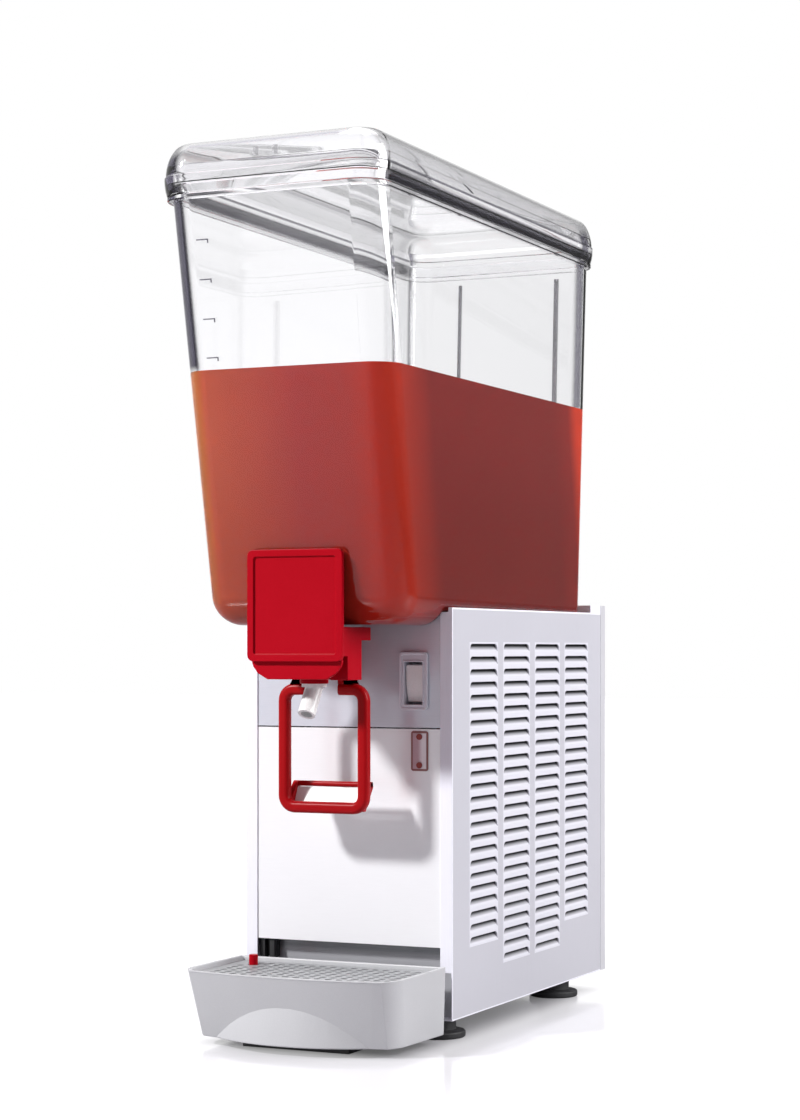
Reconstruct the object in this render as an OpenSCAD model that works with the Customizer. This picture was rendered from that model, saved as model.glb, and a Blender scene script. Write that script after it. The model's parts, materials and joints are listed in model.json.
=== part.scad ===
// Cold drink dispenser: one clear tank with a lever tap on a louvred cooling cabinet.
// Millimetres, +Z up, +Y to the back. The origin lies on the floor under the middle of the box.
// Every module below is written from the cabinet's front plane (Y = 0); place() moves it to the origin.

/* [Cabinet] */
// Width across the side panels
body_w = 180; // [174:1:200]
// Depth of the cabinet
body_d = 341; // [335:1:370]
// Height of the side panels at the back
body_h = 325; // [318:1:350]
// Height of the feet
foot_h = 16; // [15:1:30]
// Sheet metal thickness
sheet = 1; // [0.8:0.1:1.2]
// Width of the bright strips beside the front panels
strip_w = 10.3; // [8:0.1:13]

/* [Louvres] */
// Width of one louvre
louvre_w = 56; // [44:1:60]
// Height of one louvre opening
louvre_h = 6; // [4.5:0.5:6.5]
// Distance from row to row
louvre_pitch = 10; // [9:0.1:10.5]
// How far a louvre tongue leans in
louvre_lean = 4.5; // [3:0.5:5]
// Rows in the two outer columns
louvre_rows = 24; // [16:1:24]

/* [Tank] */
// Height of the tank above the deck
tank_h = 322; // [280:1:360]
// Half width of the tank at its rim
tank_half = 88.9; // [87.2:0.1:91.2]
// How far the tank rim stands in front of the cabinet
tank_reach = 135; // [131:0.1:139]
// Distance from the front plane back to the tank rim
tank_back = 315.5; // [311:0.1:320.6]
// Wall thickness of the tank
tank_wall = 3; // [2.5:0.1:4]
// Radius of the upright corners at the rim
tank_r = 20; // [16:1:24]
// Radius of the bottom edges
tank_fillet = 24; // [20:1:26]
// Height of the lid above the tank rim
lid_h = 31; // [26:1:40]
// How far the lid stands out past the tank rim
lid_over = 4.8; // [4.4:0.1:6]
// Wall thickness of the lid
lid_wall = 2.4; // [2:0.1:3]

/* [Tap] */
// Width of the tap cover plate
cover_w = 80.4; // [78:0.2:90]
// Height of the tap cover plate
cover_h = 84.5; // [78:0.5:86]
// Width of the lever loop
loop_w = 77; // [70:1:90]
// Height of the lever loop
loop_h = 100; // [85:1:105]
// Thickness of the lever bar
loop_bar = 9; // [8:0.5:10]
// Radius of the piston bore
bore_r = 8; // [7.6:0.1:8.4]
// Radial clearance of running fits
run_fit = 0.06; // [0.03:0.01:0.09]

/* [Drip tray] */
// Width of the drip tray at its rim
tray_w = 178; // [172:1:184]
// How far the tray stands in front of the cabinet
tray_reach = 117; // [110:1:122]
// Height of the tray rim above the cabinet's lower edge
tray_rim = 43; // [38:1:46]
// Wall thickness of the tray
tray_wall = 3; // [2.5:0.1:3.5]
// Thickness of the drip grid
grid_t = 3; // [2.5:0.1:3.5]
// Pitch of the holes in the grid
grid_pitch = 9; // [8.5:0.1:12]

/* [Hidden] */
$fn = 64;
lid_front = tank_reach + lid_over + 1.5;
overall_d = body_d + lid_front;
y_face = overall_d / 2 - body_d;
hw = body_w / 2;
hi = hw - sheet;
z0 = foot_h;
z1 = z0 + body_h;
z_rim = z1 - 6.5;
z_deck = z1 - 13;
z_seam = z1 - 100;
z_low = z0 + 56;
y_rear = body_d - 6;
y_wrap = body_d - 12;
z_pan = z0 + sheet + 1.5;
foot_y = [24, body_d - 71];
foot_r = 21;
foot_x = hw - 22;
// tank levels and its taper to the bottom
z_nose = z_deck - 7;
z_seat = z_deck + 3.5;
z_top = z_deck + tank_h;
tank_half_b = tank_half - 2.4;
tank_front_b = -(tank_reach - 56.7);
tank_back_b = tank_back - 15;
flange_z = z_top - 12;
lid_shoulder = 13;
rim_gap = 0.8;
dome_y = 150;
dome_r = 58;
dome_h = 125;
z_dome = z_deck + dome_h;
hole_r = 66;
rib_x = [-40, 53];
rib_t = 2.6;
// tap, set back from the nose of the tank
tap_y = tank_front_b + 21.3;
spigot_y = tap_y + 29;
spigot_r = 10;
piv_y = tap_y - 19.5;
piv_z = z_nose - 18;
tap_front = tank_front_b - 8.2;
tap_top = z_nose + 17;
seat_z = z_nose - 41;
pin_r = 2;
seat_fit = 0.04;
piston_r = bore_r - run_fit;
spring_a = z_nose - 10;
spring_b = z_nose + 13.5;
spring_wire = 0.7;
spring_turns = 7;
loop_y = tap_y + 17;
loop_top = z_nose - 45;
arm_in = 13.5;
cover_bottom = z_nose - 28;
// drip tray
z_tray = z0 + tray_rim;
z_strip = z_tray - 6;
tray_floor = z0 - 12;
tray_rear = -10;
chin_r = 114;
ledge_z = z_tray - 6.5;
float_x = -65;
float_y = -34;
// switch, plate and screws, set in from the cabinet's edge
switch_x = hw - 32.4;
plate_x = hw - 27.8;
screw_x = hw - 10;
// cooling set
comp_y = body_d / 2 + 64.5;
motor_end = comp_y - 72;
comp_x = hw - 38;
cond_half = hw - 33;
fin_gap = 9;
fin_n = floor((2 * cond_half - 14) / fin_gap) + 1;
shroud_half = hw - 20;
fan_r = hw - 30;
pipe_x = hw - 16;
drier_x = hw - 22;
cond_z = [45, 76, 107, 138, 169, 200];
fan_z = 125;
coil_r = dome_r - 1.2 - 4.2;
coil_pitch = 10;
coil_turns = 8.5;
coil_z = z_deck + 9;

echo(spring_least_gap = (spring_b - spring_a - 2 * spring_wire) / spring_turns * 0.855 - 2 * spring_wire);
echo(coil_least_gap = coil_pitch - 8);

// helpers

module place() {
    translate([0, y_face, 0]) children();
}

// block between two corners
module block(a, b) {
    translate(a) cube(b - a);
}

// rounded rectangle about the middle
module rrect(w, d, r) {
    square([w - 2 * r, d], center = true);
    square([w, d - 2 * r], center = true);
    for (sx = [-1, 1])
        for (sy = [-1, 1])
            translate([sx * (w / 2 - r), sy * (d / 2 - r)]) circle(r);
}

// rounded rectangle between a front and a back line
module plan(half, front, back, r) {
    translate([0, (front + back) / 2]) rrect(2 * half, back - front, r);
}

// outline in Y and Z carried along X
module along_x(x_a, x_b) {
    translate([x_a, 0, 0]) rotate([90, 0, 90]) linear_extrude(x_b - x_a) children();
}

// outline in X and Z carried along Y
module along_y(y_a, y_b) {
    translate([0, y_b, 0]) rotate([90, 0, 0]) linear_extrude(y_b - y_a) children();
}

// rod along X and rod along Y
module rod_x(x_a, x_b, y, z, r) {
    translate([x_a, y, z]) rotate([0, 90, 0]) cylinder(r = r, h = x_b - x_a);
}
module rod_y(y_a, y_b, x, z, r) {
    translate([x, y_a, z]) rotate([-90, 0, 0]) cylinder(r = r, h = y_b - y_a);
}

// pipe along a run of points, each leg square to the last
module pipe(p, r) {
    for (i = [0 : len(p) - 2]) {
        d = p[i + 1] - p[i];
        l = norm(d);
        translate(p[i]) rotate([0, acos(d[2] / l), atan2(d[1], d[0])]) cylinder(r = r, h = l, $fn = 24);
    }
    for (i = [1 : 1 : len(p) - 2]) translate(p[i]) sphere(r = r, $fn = 24);
}

// one unbroken wound tube
module wound(rm, rw, za, pitch, turns, seg, sides) {
    n = round(turns * seg);
    pts = [for (i = [0 : n]) for (j = [0 : sides - 1])
        let (a = 360 * i / seg, b = 360 * j / sides, q = rm + rw * cos(b))
            [q * cos(a), q * sin(a), za + pitch * i / seg + rw * sin(b)]];
    skin = [for (i = [0 : n - 1]) for (j = [0 : sides - 1])
        let (k = (j + 1) % sides)
            [i * sides + j, (i + 1) * sides + j, (i + 1) * sides + k, i * sides + k]];
    caps = [[for (j = [0 : sides - 1]) j], [for (j = [sides - 1 : -1 : 0]) n * sides + j]];
    polyhedron(points = pts, faces = concat(skin, caps), convexity = 10);
}

// cabinet

module base_pan() {
    color("silver") difference() {
        union() {
            block([-hi, 14, z0 + sheet], [hi, y_rear, z_pan]);
            for (s = [-1, 1])
                mirror([s < 0 ? 1 : 0, 0, 0])
                    block([hi - 1.5, 14, z0 + sheet], [hi, y_wrap - 12, z0 + 29]);
            block([-hw + 5, 14, z0 + sheet], [hw - 5, 15.5, z0 + 24]);
            block([-hw + 5, y_rear - 1.5, z0 + sheet], [hw - 5, y_rear, z0 + 24]);
        }
        for (s = [-1, 1]) {
            for (y = foot_y) translate([s * foot_x, y, 0]) cylinder(r = 4.4, h = 2 * z0 + 20);
            for (y = [-48, 48]) translate([s * comp_x, comp_y + y, 0]) cylinder(r = 3, h = 2 * z0 + 20);
        }
    }
}

// openings of the louvres in the side panel, seen from the side
function louvre_y(c) = 62.7 + 68.6 * c * (body_d - 12) / 329;
function louvre_n(c) = (c == 0 || c == 3) ? louvre_rows : louvre_rows + 2;
function louvre_z(i) = z1 - 34.5 - louvre_h - louvre_pitch * i;

module louvre_openings() {
    for (c = [0 : 3])
        for (i = [0 : louvre_n(c) - 1])
            translate([louvre_y(c), louvre_z(i)])
                polygon([[-louvre_w / 2, 0], [louvre_w / 2, 0], [louvre_w / 2 - 0.8, louvre_h - 2.6],
                    [louvre_w / 2 - 2.2, louvre_h - 0.8], [louvre_w / 2 - 4.6, louvre_h],
                    [-louvre_w / 2 + 4.6, louvre_h], [-louvre_w / 2 + 2.2, louvre_h - 0.8],
                    [-louvre_w / 2 + 0.8, louvre_h - 2.6]]);
}

// tongues bent in from the lower edge of every opening
module louvre_tongues() {
    for (c = [0 : 3])
        along_y(louvre_y(c) - louvre_w / 2 + 0.4, louvre_y(c) + louvre_w / 2 - 0.4)
            for (i = [0 : louvre_n(c) - 1])
                translate([hw, louvre_z(i)])
                    polygon([[0, 0], [-louvre_lean, louvre_h + 0.8],
                        [-louvre_lean - sheet, louvre_h + 0.8], [-sheet, -0.6], [0, -0.6]]);
}

module side_panel() {
    difference() {
        union() {
            along_x(hi, hw) polygon([[0, z0], [y_wrap, z0], [y_wrap, z1], [body_d - 37, z1],
                [body_d - 37, z_rim], [0, z_rim]]);
            block([hw - strip_w, 0, z_strip], [hw, sheet, z_seat - 0.5]);
            block([hw - 3.5, 0, z_strip], [hw, sheet, z_rim]);
            block([hw - 13, 0, z0], [hw, y_wrap, z0 + sheet]);
            block([hw - 3.5, 0, z_rim - sheet], [hw, body_d - 37, z_rim]);
            block([hi - 1, y_wrap - 11, z_pan + 1], [hi, y_rear - 0.5, z_deck - 8]);
        }
        along_x(hi - 0.01, hw + 1) louvre_openings();
    }
    louvre_tongues();
}

module side_panel_right() {
    color("lavender") side_panel();
}

module side_panel_left() {
    color("lavender") mirror([1, 0, 0]) side_panel();
}

module rear_panel() {
    color("lavender") difference() {
        union() {
            block([-hw, y_rear, z0], [hw, y_rear + sheet, z1]);
            for (s = [0, 1])
                mirror([s, 0, 0]) block([hi, y_wrap + 0.4, z0], [hw, body_d, z1]);
            block([-hw, y_rear, z1 - sheet], [hw, body_d, z1]);
            block([-hw, y_rear, z0], [hw, body_d, z0 + sheet]);
        }
        along_y(y_rear - 1, y_rear + 2)
            for (x = [-46, 0, 46])
                for (i = [0 : 11]) translate([x, z0 + 85 + 14 * i]) rrect(36, 5, 2.4);
        rod_y(y_rear - 1, y_rear + 2, -hw + 35, z0 + 40, 8);
        for (s = [-1, 1])
            for (z = [z0 + 34, z0 + 160, z1 - 26]) rod_y(y_rear - 1, y_rear + 2, s * screw_x, z, 2);
    }
}

module top_deck() {
    color("gainsboro") difference() {
        union() {
            along_x(-hi, hi) polygon([[2, z_deck - 1], [body_d - 35, z_deck - 1],
                [body_d - 35, z1 - 1], [y_rear, z1 - 1], [y_rear, z1], [body_d - 36, z1],
                [body_d - 36, z_deck], [2, z_deck]]);
            for (s = [0, 1])
                mirror([s, 0, 0]) block([hi - 1, 2, z_deck - 15], [hi, y_wrap - 12, z_deck]);
        }
        translate([0, dome_y, z_deck - 5]) cylinder(r = 30, h = 20);
        translate([coil_r, dome_y, z_deck - 5]) cylinder(r = 5.5, h = 20);
        translate([-40, dome_y, z_deck - 5]) cylinder(r = 5.5, h = 20);
    }
}

module upper_front_panel() {
    color("whitesmoke") difference() {
        block([-hw + 4, sheet, z_seam + 0.5], [hw - 4, 2, z_deck]);
        block([switch_x - 10.6, 0, z_seam + 16], [switch_x + 10.6, 5, z_seam + 57]);
    }
}

module lower_front_panel() {
    color("white") difference() {
        union() {
            block([-hw + 4, sheet, z_low], [hw - 4, 2, z_seam - 0.5]);
            block([-hw + 4, sheet, z_low], [hw - 4, 13, z_low + 1]);
        }
        rod_y(0, 5, plate_x, z_seam - 17.5, 4);
        for (z = [z_seam - 28.5, z_seam - 6.5]) rod_y(0, 5, plate_x, z, 1.6);
    }
}

module kick_plate() {
    color("silver") block([-hw + 4, 13, z0 + sheet], [hw - 4, 14, z0 + 90]);
}

module access_plate() {
    color("gainsboro") difference() {
        along_y(sheet - 0.8, sheet) translate([plate_x, z_seam - 17.5]) rrect(14.5, 31, 2);
        for (z = [z_seam - 28.5, z_seam - 6.5]) rod_y(-2, 3, plate_x, z, 1.6);
    }
}

module panel_screws() {
    color("dimgray") {
        for (z = [z_seam - 28.5, z_seam - 6.5]) {
            rod_y(sheet - 1.8, sheet - 0.8, plate_x, z, 2.4);
            rod_y(sheet - 0.9, 2, plate_x, z, 1.5);
        }
        for (s = [-1, 1])
            for (z = [z0 + 34, z0 + 160, z1 - 26]) {
                rod_y(y_rear + sheet, y_rear + sheet + 1.5, s * screw_x, z, 3.6);
                rod_y(y_rear - 6, y_rear + sheet + 0.2, s * screw_x, z, 1.9);
            }
    }
}

module feet() {
    color("black") for (s = [-1, 1])
        for (y = foot_y)
            translate([s * foot_x, y, 0]) difference() {
                rotate_extrude() polygon([[0, 0], [foot_r - 1, 0], [foot_r, 1], [foot_r, 4.5],
                    [foot_r - 1, 5.5], [13.5, 6.5], [13.5, z0], [0, z0]]);
                translate([0, 0, 6]) cylinder(r = 4, h = z0);
            }
}

module foot_studs() {
    color("silver") for (s = [-1, 1])
        for (y = foot_y)
            translate([s * foot_x, y, 0]) {
                translate([0, 0, 6]) cylinder(r = 4 - seat_fit, h = z_pan + 9 - 6);
                translate([0, 0, z_pan]) cylinder(r = 7.5, h = 6.5, $fn = 6);
            }
}

module tray_bracket() {
    color("black") along_x(-45, 45) polygon([[-88, tray_floor - 3], [16, tray_floor - 3],
        [16, z0 + sheet - 3], [62, z0 + sheet - 3], [62, z0 + sheet], [13, z0 + sheet], [13, tray_floor],
        [-88, tray_floor]]);
}

module tray_clip() {
    color("black") {
        block([-hw + 10, 9, z_low - 15], [-hw + 24, 13, z_low - 1]);
        block([-hw + 10.5, 4, z_low - 17], [-hw + 15, 10, z_low - 1]);
        block([-hw + 19, 4, z_low - 17], [-hw + 23.5, 10, z_low - 1]);
    }
}

module cord_gland() {
    color("black") difference() {
        union() {
            rod_y(y_rear + sheet, body_d - 0.5, -hw + 35, z0 + 40, 11);
            rod_y(y_rear - 10, y_rear + sheet + 1, -hw + 35, z0 + 40, 7.8);
        }
        rod_y(y_rear - 20, body_d + 5, -hw + 35, z0 + 40, 3.5);
    }
}

module switch_bezel() {
    color("lightgray") difference() {
        union() {
            along_y(-1.8, sheet) translate([switch_x, z_seam + 36.5]) rrect(23.8, 45, 3);
            block([switch_x - 10.4, 0, z_seam + 16.2], [switch_x + 10.4, 24, z_seam + 56.8]);
        }
        block([switch_x - 7.8, -5, z_seam + 18.5], [switch_x + 7.8, 14, z_seam + 51.5]);
        // groove between the outer frame and the lip round the rocker
        along_y(-3, -1) difference() {
            translate([switch_x, z_seam + 36.5]) rrect(20.2, 41.4, 2);
            translate([switch_x, z_seam + 35]) rrect(17.6, 35.4, 1);
        }
        rod_x(switch_x - 9.6, switch_x + 9.6, 5, z_seam + 35, 1.5 + run_fit);
    }
}

// rocker, resting with its lower half pressed in
module switch_rocker() {
    color("white") translate([switch_x, 5, z_seam + 35]) rotate([8, 0, 0])
        along_x(-6.9, 6.9) polygon([[-4.2, 0], [-3.6, 7], [-2.6, 14], [-1.6, 14.6], [5, 12], [5, -12],
            [-1.6, -14.6], [-2.6, -14], [-3.6, -7]]);
    color("white") rod_x(switch_x - 9.4, switch_x + 9.4, 5, z_seam + 35, 1.5);
}

module thermostat() {
    color("tan") {
        block([plate_x - 18.2, 2, z_seam - 40], [plate_x + 16.8, 30, z_seam - 8]);
        rod_y(30, 38, plate_x - 4, z_seam - 24, 5);
    }
}

// cooling of the tank

module insulation() {
    color("khaki") difference() {
        block([-hi + 9, dome_y - 90, z_deck - 47], [hi - 9, dome_y + 90, z_deck - 1]);
        translate([0, dome_y, z_deck - 60]) cylinder(r = 45, h = 80);
        translate([coil_r, dome_y, z_deck - 60]) cylinder(r = 5.5, h = 80);
    }
}

module dome_shape(r, h, f) {
    square([r - f, h]);
    square([r, h - f]);
    translate([r - f, h - f]) circle(f);
}

module evaporator() {
    color("silver") translate([0, dome_y, z_deck]) {
        rotate_extrude() difference() {
            union() {
                dome_shape(dome_r, dome_h, 18);
                square([74, 1.2]);
            }
            translate([0, -1]) dome_shape(dome_r - 1.2, dome_h - 0.2, 16.8);
        }
        translate([0, 0, dome_h - 0.5]) cylinder(r = 4, h = 12.5);
    }
}

module evaporator_coil() {
    color("peru") translate([0, dome_y, 0]) wound(coil_r, 4, coil_z, coil_pitch, coil_turns, 8, 6);
}

module tank_gasket() {
    color("dimgray") translate([0, dome_y, 0]) rotate_extrude() polygon([[dome_r + 0.3, z_deck + 1.2],
        [74, z_deck + 1.2], [74, z_seat], [hole_r - 0.3, z_seat], [hole_r - 0.3, z_seat + 7],
        [dome_r + 0.3, z_seat + 9]]);
}

module mixer_motor() {
    color("slategray") translate([0, dome_y, 0]) difference() {
        union() {
            translate([0, 0, z_deck - 4]) cylinder(r = 38.5, h = 3);
            translate([0, 0, z_deck - 53]) cylinder(r = 30, h = 50);
            translate([0, 0, z_deck - 4]) cylinder(r = 10, h = 12);
        }
        translate([0, 0, z_deck - 36]) cylinder(r = 4 + run_fit, h = 60);
        translate([-40, 0, z_deck - 70]) cylinder(r = 5.5, h = 90);
    }
}

module drive_magnet() {
    color("gray") translate([0, dome_y, 0]) {
        translate([0, 0, z_deck - 33]) cylinder(r = 4, h = dome_h + 15);
        translate([0, 0, z_dome - 18]) cylinder(r = 30, h = 13);
    }
}

module stirrer() {
    color("white") translate([0, dome_y, z_dome]) difference() {
        union() {
            translate([0, 0, 0.3]) cylinder(r = 30, h = 11);
            translate([0, 0, 0.3]) cylinder(r = 11, h = 22);
            for (a = [0, 180])
                rotate([0, 0, a]) {
                    block([8, -2, 3], [54, 2, 24]);
                    translate([54, 0, 3]) cylinder(r = 2, h = 21);
                }
        }
        translate([0, 0, -1]) cylinder(r = 4 + run_fit, h = 15);
    }
}

// cooling set in the cabinet

module compressor() {
    color("#303236") translate([0, comp_y, z_pan + 14.5]) {
        difference() {
            block([-comp_x - 10, -57, 0], [comp_x + 10, 57, 3]);
            for (s = [-1, 1])
                for (y = [-48, 48]) translate([s * comp_x, y, -1]) cylinder(r = 4, h = 6);
        }
        rotate_extrude() {
            translate([0, 2]) dome_shape(54, 142, 26);
            translate([0, 66]) square([56, 6]);
        }
        block([40, -18, 60], [hw - 18, 18, 110]);
        for (s = [-1, 1]) translate([s * 25, 0, 130]) cylinder(r = 3.4, h = 32);
    }
}

module compressor_mounts() {
    color("black") for (s = [-1, 1])
        for (y = [-48, 48])
            translate([s * comp_x, comp_y + y, z_pan]) rotate_extrude() polygon([[0, 0], [10, 0], [10, 5],
                [8, 7], [10, 9], [10, 14.5], [0, 14.5]]);
}

module condenser() {
    color("silver") {
        for (i = [0 : fin_n - 1])
            translate([(i - (fin_n - 1) / 2) * fin_gap, 0, 0])
                block([-0.4, 36, z_pan + 8], [0.4, 78, z_pan + 192]);
        for (s = [-1, 1])
            block([s * cond_half - 0.75, 34, z_pan], [s * cond_half + 0.75, 80, z_pan + 192]);
        for (z = cond_z) rod_x(-cond_half - 3, cond_half + 3, 57, z + z_pan - 23.5, 4);
        for (i = [0 : 4])
            translate([(i % 2 == 0 ? -1 : 1) * (cond_half + 3), 57,
                    (cond_z[i] + cond_z[i + 1]) / 2 + z_pan - 23.5])
                rotate([90, 0, 0]) rotate([0, 0, i % 2 == 0 ? 90 : -90]) rotate_extrude(angle = 180)
                    translate([15.5, 0]) circle(4);
    }
}

module fan_shroud() {
    zf = fan_z + z_pan - 23.5;
    color("gray") difference() {
        union() {
            block([-shroud_half, 80, z_pan], [shroud_half, 81.2, z_pan + 192]);
            block([-shroud_half, 80, z_pan], [shroud_half, 100, z_pan + 1.2]);
            rod_y(80, 97, 0, zf, fan_r + 4);
        }
        rod_y(70, 110, 0, zf, fan_r + 2.4);
    }
}

module fan_bracket() {
    zf = fan_z + z_pan - 23.5;
    color("gray") {
        difference() {
            block([-shroud_half, 118, zf - 9], [shroud_half, 120, zf + 9]);
            rod_y(110, 130, 0, zf, 8);
        }
        for (s = [-1, 1]) rod_y(81.2, 118.5, s * (fan_r + 7), zf, 2.6);
    }
}

module fan_motor() {
    zf = fan_z + z_pan - 23.5;
    color("slategray") difference() {
        union() {
            rod_y(120, motor_end, 0, zf, 28);
            rod_y(112, 121, 0, zf, 7.8);
        }
        rod_y(100, motor_end - 11, 0, zf, 3 + run_fit);
    }
}

module fan_blades() {
    zf = fan_z + z_pan - 23.5;
    color("lightgray") {
        rod_y(90, 107, 0, zf, 16);
        rod_y(105, motor_end - 13, 0, zf, 3);
        intersection() {
            difference() {
                rod_y(88, 109, 0, zf, fan_r);
                rod_y(80, 120, 0, zf, 14);
            }
            for (a = [0 : 72 : 288])
                translate([0, 98.5, zf]) rotate([0, a, 0]) rotate([0, 0, 32])
                    block([-20, -0.8, 12], [20, 0.8, fan_r + 10]);
        }
    }
}

module filter_drier() {
    color("peru") translate([drier_x, 140, z_pan]) rotate_extrude() polygon([[0, 36.5], [3.4, 36.5], [3.4, 42],
        [9, 50], [9, 120], [3.4, 128], [3.4, 134.5], [0, 134.5]]);
}

module refrigerant_pipes() {
    zt = cond_z[5] + z_pan - 23.5;
    zb = cond_z[0] + z_pan - 23.5;
    zc = z_pan + 176.5;
    zp = z_deck - 75;
    ze = coil_z + coil_pitch * coil_turns;
    color("peru") {
        pipe([[cond_half + 3, 57, zt], [pipe_x, 57, zt], [pipe_x, 57, zt + 35], [25, 57, zt + 35],
            [25, comp_y, zt + 35], [25, comp_y, zc]], 3);
        pipe([[cond_half + 3, 57, zb], [pipe_x + 1, 57, zb], [pipe_x + 1, 140, zb], [drier_x, 140, zb],
            [drier_x, 140, z_pan + 36.5]], 3);
        pipe([[drier_x, 140, z_pan + 134.5], [drier_x, 140, zp], [coil_r, 140, zp], [coil_r, dome_y, zp],
            [coil_r, dome_y, coil_z - 4.1]], 3);
        pipe([[-coil_r + 4.1, dome_y, ze], [-40, dome_y, ze], [-40, dome_y, zp - 2], [-40, comp_y, zp - 2],
            [-25, comp_y, zp - 2], [-25, comp_y, zc]], 3);
    }
}

// tank and lid

module tank_form(i) {
    f = tank_fillet;
    hull() for (s = [-1, 1]) {
        translate([s * (tank_half_b - f), tank_front_b + f, z_nose + f]) sphere(r = f - i, $fn = 40);
        translate([s * (tank_half_b - f), tank_back_b - f, z_nose + f]) sphere(r = f - i, $fn = 40);
        translate([s * (tank_half - tank_r), -tank_reach + tank_r, z_top - 1])
            cylinder(r = tank_r - i, h = i > 0 ? 2 : 1, $fn = 40);
        translate([s * (tank_half - tank_r), tank_back - tank_r, z_top - 1])
            cylinder(r = tank_r - i, h = i > 0 ? 2 : 1, $fn = 40);
    }
}

module tank() {
    w = tank_wall;
    color("lightcyan", 0.4) difference() {
        union() {
            difference() {
                tank_form(0);
                block([-120, -4, z_nose - 10], [120, body_d, z_seat]);
            }
            translate([0, 0, flange_z]) linear_extrude(4)
                plan(tank_half + 3, -tank_reach - 3, tank_back + 3, tank_r + 3);
            translate([0, spigot_y, z_nose - 26]) cylinder(r = spigot_r, h = 40);
        }
        difference() {
            tank_form(w);
            block([-120, -4 - w, z_nose - 10], [120, body_d, z_seat + w]);
            translate([0, tap_y, z_nose - 10]) cylinder(r = 12.5 + w, h = 29 + w);
        }
        translate([0, tap_y, z_nose - 10]) cylinder(r = 12.5, h = 29);
        translate([0, spigot_y, z_nose - 40]) cylinder(r = spigot_r - w, h = 60);
        translate([0, dome_y, z_seat - 10]) cylinder(r = hole_r, h = 20);
    }
    // upright ribs that lean with the rear wall
    color("lightcyan", 0.4) for (x = rib_x) along_x(x - rib_t / 2, x + rib_t / 2)
        polygon([[tank_back_b, z_deck + 0.425 * tank_h], [tank_back_b + 4.2, z_deck + 0.425 * tank_h],
            [tank_back_b + 11.8, z_deck + 0.9 * tank_h], [tank_back_b + 7.6, z_deck + 0.9 * tank_h]]);
}

// insets and heights of the lid's edge: tucked-in skirt, crease and tall round top
lid_edge = [[1.8, flange_z + 4 - z_top], [0.5, -3], [0, 4], [0.6, 8], [2.6, 0.47 * lid_h],
    [6.6, 0.73 * lid_h], [11, 0.91 * lid_h], [15, lid_h]];

module lid_slice(z, i, r) {
    translate([0, 0, z]) linear_extrude(0.1)
        plan(tank_half + lid_over - i, -lid_front + i, tank_back + lid_over + 0.7 - i, r);
}

module lid_form(t) {
    hull() for (e = lid_edge) lid_slice(z_top + e[1] - t, e[0] + t, tank_r + 4 - 0.8 * e[0]);
}

module lid() {
    color("lightcyan", 0.4) {
        difference() {
            lid_form(0);
            // hollow above the shoulder and the slanted opening down through it
            intersection() {
                lid_form(lid_wall);
                block([-2 * tank_half, -2 * lid_front, z_top + lid_shoulder],
                    [2 * tank_half, 2 * tank_back, z_top + lid_h]);
            }
            hull() {
                lid_slice(z_top + lid_shoulder, lid_wall + 3.2, tank_r + 1);
                lid_slice(z_top - 1, lid_over + 4, tank_r - 4);
            }
            // room for the tank rim
            translate([0, 0, flange_z]) linear_extrude(z_top + rim_gap - flange_z)
                plan(tank_half + rim_gap, -tank_reach - rim_gap, tank_back + rim_gap, tank_r + rim_gap);
        }
        for (s = [-1, 1])
            block([s * 8 - 0.8, -lid_front + lid_wall, z_top + 0.5 * lid_h],
                [s * 8 + 0.8, -lid_front + 9, z_top + 0.68 * lid_h]);
    }
}

// tap

module tap_body() {
    zt = z_nose - 2;
    color("red") difference() {
        union() {
            // hood with its front apron and right cheek
            difference() {
                block([-38, tap_front, z_nose - 24], [38, tap_y + 21, zt]);
                block([-35.5, tap_front + 3, z_nose - 30], [35.5, tap_y + 27, zt - 2.5]);
                block([-50, tap_y + 5, z_nose - 30], [50, tap_y + 27, z_nose - 12]);
            }
            along_y(tap_front, tap_front + 3) polygon([[-38, zt], [-38, z_nose - 29], [-37, z_nose - 32],
                [-33, z_nose - 37], [-25, z_nose - 41.5], [25, z_nose - 41.5], [33, z_nose - 37],
                [37, z_nose - 32], [38, z_nose - 29], [38, zt]]);
            block([-38, tap_front, z_nose - 29], [-35.5, tap_y - 1, z_nose - 20]);
            block([23, tap_y - 19, z_nose - 42], [38, tap_y + 5, zt]);
            // piston cylinder, channel and socket for the tank outlet
            translate([0, tap_y, z_nose - 45]) cylinder(r = 11, h = 62);
            block([-7.5, tap_y, z_nose - 39], [7.5, spigot_y, z_nose - 23]);
            translate([0, spigot_y, z_nose - 42]) cylinder(r = 12.5, h = 40);
        }
        translate([0, tap_y, z_nose - 50]) cylinder(r = bore_r, h = 90);
        rod_y(tap_y, spigot_y, 0, z_nose - 32, 4.5);
        translate([0, spigot_y, z_nose - 38]) cylinder(r = spigot_r + 0.15, h = 60);
        translate([0, spigot_y, z_nose - 8]) cylinder(r = spigot_r + 1.5, h = 20);
        block([-12, tap_y - 2.8, piv_z - 2.8], [12, tap_y + 2.8, piv_z + 6.6]);
        rod_x(-39, 30, piv_y, piv_z, pin_r + seat_fit);
    }
}

module tap_cover() {
    zc = cover_bottom + cover_h / 2;
    color("red") difference() {
        along_y(tap_front - 4, tap_front) translate([0, zc]) rrect(cover_w, cover_h, 5);
        along_y(tap_front - 6, tap_front - 2.4) translate([0, zc]) rrect(cover_w - 11, cover_h - 11, 2);
    }
}

module tap_cap() {
    color("firebrick") {
        translate([0, tap_y, spring_b]) cylinder(r = bore_r - seat_fit, h = tap_top - spring_b);
        translate([0, tap_y, tap_top]) cylinder(r = 10.5, h = 1.5);
    }
}

module tap_spring() {
    color("silver") translate([0, tap_y, 0])
        wound(5.2, spring_wire, spring_a + spring_wire, (spring_b - spring_a - 2 * spring_wire) / spring_turns,
            spring_turns, 8, 6);
}

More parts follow.
